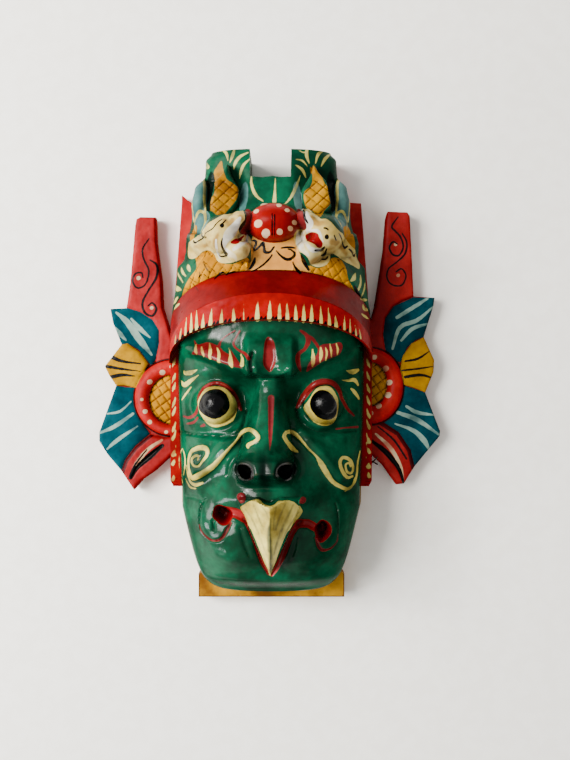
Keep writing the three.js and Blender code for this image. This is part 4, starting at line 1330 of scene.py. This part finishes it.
class Nodes:
    """Short calls for building a material's node tree."""

    def __init__(self, name):
        self.material = bpy.data.materials.new(name)
        self.material.use_nodes = True
        self.tree = self.material.node_tree
        self.bsdf = self.tree.nodes["Principled BSDF"]
        self.place = self.tree.nodes.new("ShaderNodeTexCoord").outputs["Object"]

    def add(self, kind, inputs, **settings):
        node = self.tree.nodes.new(kind)
        for key, value in settings.items():
            setattr(node, key, value)
        for key, value in inputs.items():
            self.link(node.inputs[key], value)
        return node

    def link(self, socket, value):
        if isinstance(value, bpy.types.NodeSocket):
            self.tree.links.new(value, socket)
        elif isinstance(value, tuple) and len(value) == 3 and socket.type == "RGBA":
            socket.default_value = (*value, 1)
        else:
            socket.default_value = value

    def math(self, operation, *values):
        return self.add("ShaderNodeMath", dict(enumerate(values)), operation=operation).outputs[0]

    def noise(self, scale, detail=3.0, stretch=None, rough=0.5):
        vector = self.place
        if stretch:
            vector = self.add("ShaderNodeMapping", {"Vector": vector, "Scale": stretch}).outputs[0]
        inputs = {"Vector": vector, "Scale": scale, "Detail": detail, "Roughness": rough}
        return self.add("ShaderNodeTexNoise", inputs).outputs["Fac"]

    def ramp(self, value, low, high, to_low=0.0, to_high=1.0, kind="SMOOTHSTEP"):
        inputs = {"Value": value, "From Min": low, "From Max": high, "To Min": to_low, "To Max": to_high}
        return self.add("ShaderNodeMapRange", inputs, interpolation_type=kind).outputs["Result"]

    def facing(self, low, high, to_low=0.0, to_high=1.0, lean=0.0):
        """A value that grows as the surface turns from upright to forward, a little sooner on the left."""
        normal = self.add("ShaderNodeTexCoord", {}).outputs["Normal"]
        axes = self.add("ShaderNodeSeparateXYZ", {"Vector": normal}).outputs
        forward = self.math("ADD", axes["Z"], self.math("MULTIPLY", axes["X"], -lean))
        return self.ramp(forward, low, high, to_low, to_high)

    def mix(self, factor, a, b):
        return self.add("ShaderNodeMix", {0: factor, 6: a, 7: b}, data_type="RGBA").outputs[2]

    def mix_value(self, factor, a, b):
        return self.add("ShaderNodeMix", {0: factor, 2: a, 3: b}).outputs[0]

    def emboss(self, height, strength, distance):
        bump_node = self.add("ShaderNodeBump", {"Height": height, "Strength": strength, "Distance": distance})
        self.link(self.bsdf.inputs["Normal"], bump_node.outputs["Normal"])


# Paint colours are named as they look in full light, and a coat is a little darker than that
COAT_SHARE = 0.68


def shade(*colour):
    return tuple(COAT_SHARE * (((v / 255 + 0.055) / 1.055) ** 2.4 if v > 10 else v / 3294.6) for v in colour)


# Paints brushed on thinly, and paints left off steep sides
THIN = ("cream", "mark", "pale", "deep_edge", "tan", "white")
LEVEL_ONLY = ("mark", "teeth", "lines", "pale", "tan", "white")
# The shine of dull paints, and the soft edges and strength of the paints and the painted shade that fade out
DULL = {
    "red": 0.1, "dark_red": 0.08, "fin": 0.1, "ivory": 0.1, "tan": 0.1, "white": 0.1, "yellow": 0.05,
    "peach": 0.1, "crown_green": 0.1, "teal": 0.1, "dome": 0.05, "blue": 0.05, "black": 0.3, "bone": 0.25,
}
SOFT = {"tan": (-1.0, 1.0, 0.85), "nostril_dark_and_shade": (-3.5, 3.0, 0.92), "deep_edge": (-0.8, 0.9, 0.85)}
# Coats in the order they were brushed on, with painted shade among them: dark and light colour, roughness and
# thickness
HEAD_LAYERS = [
    ("crown_green", (2, 52, 34), (12, 94, 64), 0.42, 0.0),
    ("ochre", (118, 70, 0), (206, 148, 6), 0.3, 0.1),
    # Painted shade in creases and recesses, a very dark green
    ("recess_shade", (0, 18, 12), (2, 34, 24), 0.25, 0.0),
    ("teal", (54, 98, 96), (104, 148, 142), 0.45, 0.3),
    ("yellow", (166, 106, 0), (222, 154, 0), 0.45, 0.2),
    ("lines", (84, 44, 0), (110, 62, 2), 0.4, -0.2),
    ("peach", (216, 146, 60), (246, 184, 92), 0.5, 0.2),
    ("fin", (168, 20, 26), (206, 50, 48), 0.45, 0.0),
    ("red", (132, 0, 3), (178, 1, 5), 0.3, 0.2),
    ("dark_red", (98, 0, 2), (136, 0, 4), 0.3, 0.2),
    ("face_red", (94, 10, 14), (140, 32, 32), 0.24, 0.2),
    ("dull_red", (98, 22, 26), (146, 44, 46), 0.35, 0.1),
    ("rose", (140, 20, 24), (180, 42, 44), 0.4, 0.1),
    ("hole", (96, 0, 6), (160, 4, 14), 0.3, 0.0),
    ("bone", (140, 116, 26), (240, 222, 112), 0.3, 0.3),
    ("deep_edge", (20, 44, 34), (60, 74, 48), 0.4, 0.0),
    ("cream", (194, 172, 72), (236, 218, 116), 0.4, 0.5),
    ("mark", (194, 178, 88), (230, 218, 132), 0.4, 0.5),
    ("dots", (226, 176, 130), (244, 214, 178), 0.4, 0.4),
    ("teeth", (2, 2, 3), (8, 8, 10), 0.3, 0.2),
    ("ivory", (206, 176, 92), (244, 230, 160), 0.42, 0.4),
    ("tan", (150, 108, 40), (186, 144, 74), 0.45, 0.1),
    ("white", (214, 206, 188), (244, 240, 230), 0.35, 0.3),
    ("mouth", (110, 0, 6), (160, 4, 14), 0.3, 0.1),
    # Soft darkening at the nose: partly the nostrils' black paint, partly painted shade
    ("nostril_dark_and_shade", (0, 10, 8), (0, 14, 10), 0.3, 0.0),
    ("black", (1, 1, 2), (5, 5, 7), 0.1, 0.4),
]
BOARD_LAYERS = [
    ("blue", (0, 46, 57), (3, 80, 91), 0.5, 0.1),
    ("boss", (156, 8, 12), (200, 30, 28), 0.45, 0.0),
    # Painted shadow in the boards' recesses, a dark maroon
    ("board_shadow", (60, 0, 6), (84, 4, 10), 0.5, 0.0),
    ("yellow", (156, 110, 0), (196, 144, 0), 0.5, 0.2),
    ("dome", (166, 112, 0), (206, 144, 0), 0.45, 0.0),
    ("lines", (120, 62, 2), (150, 84, 6), 0.5, 0.0),
    ("pale", (104, 138, 128), (156, 186, 170), 0.55, 0.2),
    ("cream", (200, 168, 122), (232, 210, 170), 0.5, 0.4),
    ("black", (5, 4, 5), (16, 14, 16), 0.4, 0.2),
]
HEAD_FINISH = {
    "base": ((0, 46, 27), (1, 88, 58)),
    "layers": HEAD_LAYERS,
    "level_only": LEVEL_ONLY,
    "gloss": 0.15,
    "ior": 1.3,
}
BOARD_FINISH = {
    "base": ((140, 12, 16), (178, 32, 34)),
    "layers": BOARD_LAYERS,
    "level_only": (*LEVEL_ONLY, "cream", "black"),
    "gloss": 0.5,
    "ior": 1.22,
}


def painted_wood(name, finish):
    """Coats of paint, one over another, each kept inside its own field of distances."""
    nodes = Nodes(name)
    wobble = nodes.math("MULTIPLY_ADD", nodes.noise(420, 2), 0.5, -0.25)
    pigment = nodes.noise(38, 5, rough=0.6)
    thin = nodes.noise(75)
    crinkle = nodes.noise(320, 4, rough=0.7)
    dark, light = finish["base"]
    colour = nodes.mix(nodes.ramp(pigment, 0.36, 0.68), shade(*dark), shade(*light))
    roughness, level, lift = finish["gloss"], nodes.facing(0.64, 0.92, 0.01, 0.38, 0.2), 0.0
    for key, dark, light, rough, height in finish["layers"]:
        stored = nodes.add("ShaderNodeAttribute", {}, attribute_name=key, attribute_type="GEOMETRY")
        low, high, most = SOFT.get(key, (-0.12, 0.16, 1.0))
        mask = nodes.ramp(nodes.math("ADD", stored.outputs["Fac"], wobble), low, high, 0.0, most)
        if key in finish["level_only"]:
            mask = nodes.math("MULTIPLY", mask, nodes.facing(0.1, 0.3))
        if key in THIN:
            mask = nodes.math("MULTIPLY", mask, nodes.ramp(thin, 0.34, 0.52, 0.4, 1.0))
        tone = nodes.mix(nodes.ramp(pigment, 0.34, 0.7), shade(*dark), shade(*light))
        colour = nodes.mix(mask, colour, tone)
        roughness = nodes.mix_value(mask, roughness, rough)
        if key in DULL:
            level = nodes.mix_value(mask, level, DULL[key])
        raised_by = nodes.math("MULTIPLY", mask, height)
        if key == "black":
            raised_by = nodes.math("MULTIPLY", raised_by, nodes.ramp(crinkle, 0.35, 0.65, 0.2, 2.4))
        lift = nodes.math("ADD", lift, raised_by)
    speck = nodes.ramp(nodes.noise(260), 0.3, 0.75, 0.86, 1.08, "LINEAR")
    shaded = nodes.add("ShaderNodeHueSaturation", {"Color": colour, "Value": speck}).outputs["Color"]
    point = nodes.add("ShaderNodeNewGeometry", {}).outputs["Pointiness"]
    worn = nodes.math("MULTIPLY", nodes.ramp(point, 0.535, 0.6), nodes.ramp(nodes.noise(150, 4), 0.52, 0.66))
    # Painted shade: hollows, found by pointiness, are darkened towards near black
    crevice_shade = nodes.ramp(point, 0.485, 0.42)
    shaded = nodes.mix(nodes.math("MULTIPLY", crevice_shade, 0.6), shaded, (0.006, 0.008, 0.005))
    shaded = nodes.mix(nodes.math("MULTIPLY", worn, 0.3), shaded, shade(150, 110, 60))
    nodes.link(nodes.bsdf.inputs["Base Color"], shaded)
    nodes.bsdf.inputs["IOR"].default_value = finish["ior"]
    nodes.link(nodes.bsdf.inputs["Specular IOR Level"], level)
    uneven = nodes.ramp(nodes.noise(60), 0.3, 0.7, -0.05, 0.1, "LINEAR")
    nodes.link(nodes.bsdf.inputs["Roughness"], nodes.math("ADD", roughness, uneven))
    brushed = nodes.noise(300, 4, (1.0, 0.22, 1.0))
    height = nodes.math("ADD", nodes.math("MULTIPLY", brushed, 0.35), lift)
    nodes.emboss(height, 0.32, 0.0004)
    return nodes.material


def bare_wood(name):
    nodes = Nodes(name)
    grain = nodes.noise(60, 6, (1.0, 0.08, 1.0), 0.65)
    rings = nodes.noise(16, 2, (1.0, 0.12, 1.0))
    colour = nodes.mix(nodes.ramp(grain, 0.35, 0.65), shade(150, 106, 62), shade(196, 156, 104))
    colour = nodes.mix(nodes.math("MULTIPLY", nodes.ramp(rings, 0.45, 0.6), 0.4), colour, shade(120, 80, 45))
    nodes.link(nodes.bsdf.inputs["Base Color"], colour)
    nodes.link(nodes.bsdf.inputs["Roughness"], nodes.ramp(grain, 0.3, 0.7, 0.6, 0.8))
    nodes.emboss(grain, 0.6, 0.0006)
    return nodes.material


def finish_wood(obj, name, finish, fields):
    """Paints an object's front and sides, and leaves what faces backwards as bare wood."""
    set_fields(obj, fields)
    obj.data.materials.clear()
    obj.data.materials.append(painted_wood(name, finish))
    obj.data.materials.append(raw_wood)
    for polygon in obj.data.polygons:
        polygon.material_index = 1 if polygon.normal.z < -0.03 else 0
        polygon.use_smooth = True
    obj.data.set_sharp_from_angle(angle=math.radians(48))


raw_wood = bare_wood("raw_wood")
finish_wood(head, "head_paint", HEAD_FINISH, paint_head(*vertex_places(head)).fields)

for name, node, board in (
    ("left_wing", "side_board_left", LEFT_BOARD),
    ("right_wing", "side_board_right", RIGHT_BOARD),
):
    wing = build_board(name, board)
    vx, vy, _ = vertex_places(wing)
    finish_wood(wing, name + "_paint", BOARD_FINISH, paint_board(vx, vy, board).fields)
    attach(wing, "root")
    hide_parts(node)


# The two ends of the tie wire, twisted together where they leave the wood
def tube_along(path, radius):
    sides = 8
    ahead = np.gradient(path, axis=0)
    ahead /= np.linalg.norm(ahead, axis=1)[:, None]
    first = np.cross(ahead, (0, 0.3, 1))
    first /= np.linalg.norm(first, axis=1)[:, None]
    second = np.cross(ahead, first)
    turn = np.linspace(0, 2 * math.pi, sides, endpoint=False)[:, None]
    rings = path[:, None] + radius * (first[:, None] * np.cos(turn) + second[:, None] * np.sin(turn))
    count = len(path)
    at = np.arange(count * sides).reshape(count, sides)
    around = np.roll(at, -1, 1)
    walls = np.stack([at[:-1], around[:-1], around[1:], at[1:]], 2).reshape(-1, 4).tolist()
    return rings.reshape(-1, 3), [*walls, at[0][::-1].tolist(), at[-1].tolist()]


def wire_strand(phase, bend):
    """A strand that is twisted for the first part of its way, and then bends off by itself."""
    t = np.linspace(0, 1, 40)
    twist = phase + 16 * t
    y = -57 + np.where(t < 0.6, 0.55 * np.sin(twist), 9 * bend * (t - 0.6))
    return np.stack([64.2 + 8.2 * t, y, 19 + 0.6 * np.cos(twist)], 1)


def dull_iron():
    nodes = Nodes("dull_iron")
    rust = nodes.noise(400, 4)
    colour = nodes.mix(nodes.ramp(rust, 0.42, 0.64), shade(46, 40, 36), shade(96, 58, 34))
    nodes.link(nodes.bsdf.inputs["Base Color"], colour)
    nodes.link(nodes.bsdf.inputs["Roughness"], nodes.ramp(rust, 0.3, 0.7, 0.35, 0.75))
    nodes.bsdf.inputs["Metallic"].default_value = 0.8
    return nodes.material


strands = [tube_along(wire_strand(phase, bend), 0.5) for phase, bend in ((0.0, 0.9), (math.pi, -0.5))]
offset = len(strands[0][0])
wire_faces = strands[0][1] + [[i + offset for i in face] for face in strands[1][1]]
wire = add_mesh("wire_ends", np.vstack([strands[0][0], strands[1][0]]), wire_faces, dull_iron())
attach(wire, "root")
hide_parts("tie_wire")


# Floor
def pale_floor():
    nodes = Nodes("pale_floor")
    mottle = nodes.ramp(nodes.noise(90), 0.4, 0.6)
    nodes.link(nodes.bsdf.inputs["Base Color"], nodes.mix(mottle, (0.95, 0.93, 0.87), (0.98, 0.965, 0.91)))
    nodes.bsdf.inputs["Roughness"].default_value = 0.8
    return nodes.material


FLOOR_HALF = 2000
corners = [[FLOOR_HALF * side, FLOOR_HALF * end, 0] for side, end in ((-1, -1), (1, -1), (1, 1), (-1, 1))]
floor = add_mesh("floor", corners, [[0, 1, 2, 3]], pale_floor())


# Light: a dim room, brighter on the side of a wide window
def room():
    world = bpy.data.worlds.new("room")
    world.use_nodes = True
    tree = world.node_tree
    place = tree.nodes.new("ShaderNodeTexCoord")
    axes = tree.nodes.new("ShaderNodeSeparateXYZ")
    tree.links.new(place.outputs["Generated"], axes.inputs[0])
    fade = tree.nodes.new("ShaderNodeMapRange")
    fade.interpolation_type = "SMOOTHSTEP"
    for key, value in {"From Min": -1.0, "From Max": 0.2, "To Min": 1.2, "To Max": 0.62}.items():
        fade.inputs[key].default_value = value
    tree.links.new(axes.outputs["X"], fade.inputs["Value"])
    tree.links.new(fade.outputs["Result"], tree.nodes["Background"].inputs["Strength"])
    tree.nodes["Background"].inputs["Color"].default_value = (1.0, 0.98, 0.95, 1)
    return world


def lamp(name, place, aim, size, watts, colour):
    light = bpy.data.lights.new(name, "AREA")
    light.shape = "RECTANGLE"
    light.size, light.size_y = size
    light.energy = watts
    light.color = colour
    obj = bpy.data.objects.new(name, light)
    obj.location = place
    towards = Vector(aim) - Vector(place)
    obj.rotation_euler = towards.to_track_quat("-Z", "Y").to_euler()
    bpy.context.scene.collection.objects.link(obj)


bpy.context.scene.world = room()
lamp("window", (-0.95, 0.2, 1.05), (0, 0, 0), (0.8, 0.8), 56, (1.0, 0.97, 0.92))
lamp("pane", (-0.95, 0.25, 0.8), (0, 0, 0), (0.14, 0.14), 8, (1.0, 0.98, 0.95))
lamp("low_window", (-0.75, -0.35, 0.35), (0, -0.05, 0.05), (0.1, 0.26), 3.2, (0.9, 0.97, 1.0))
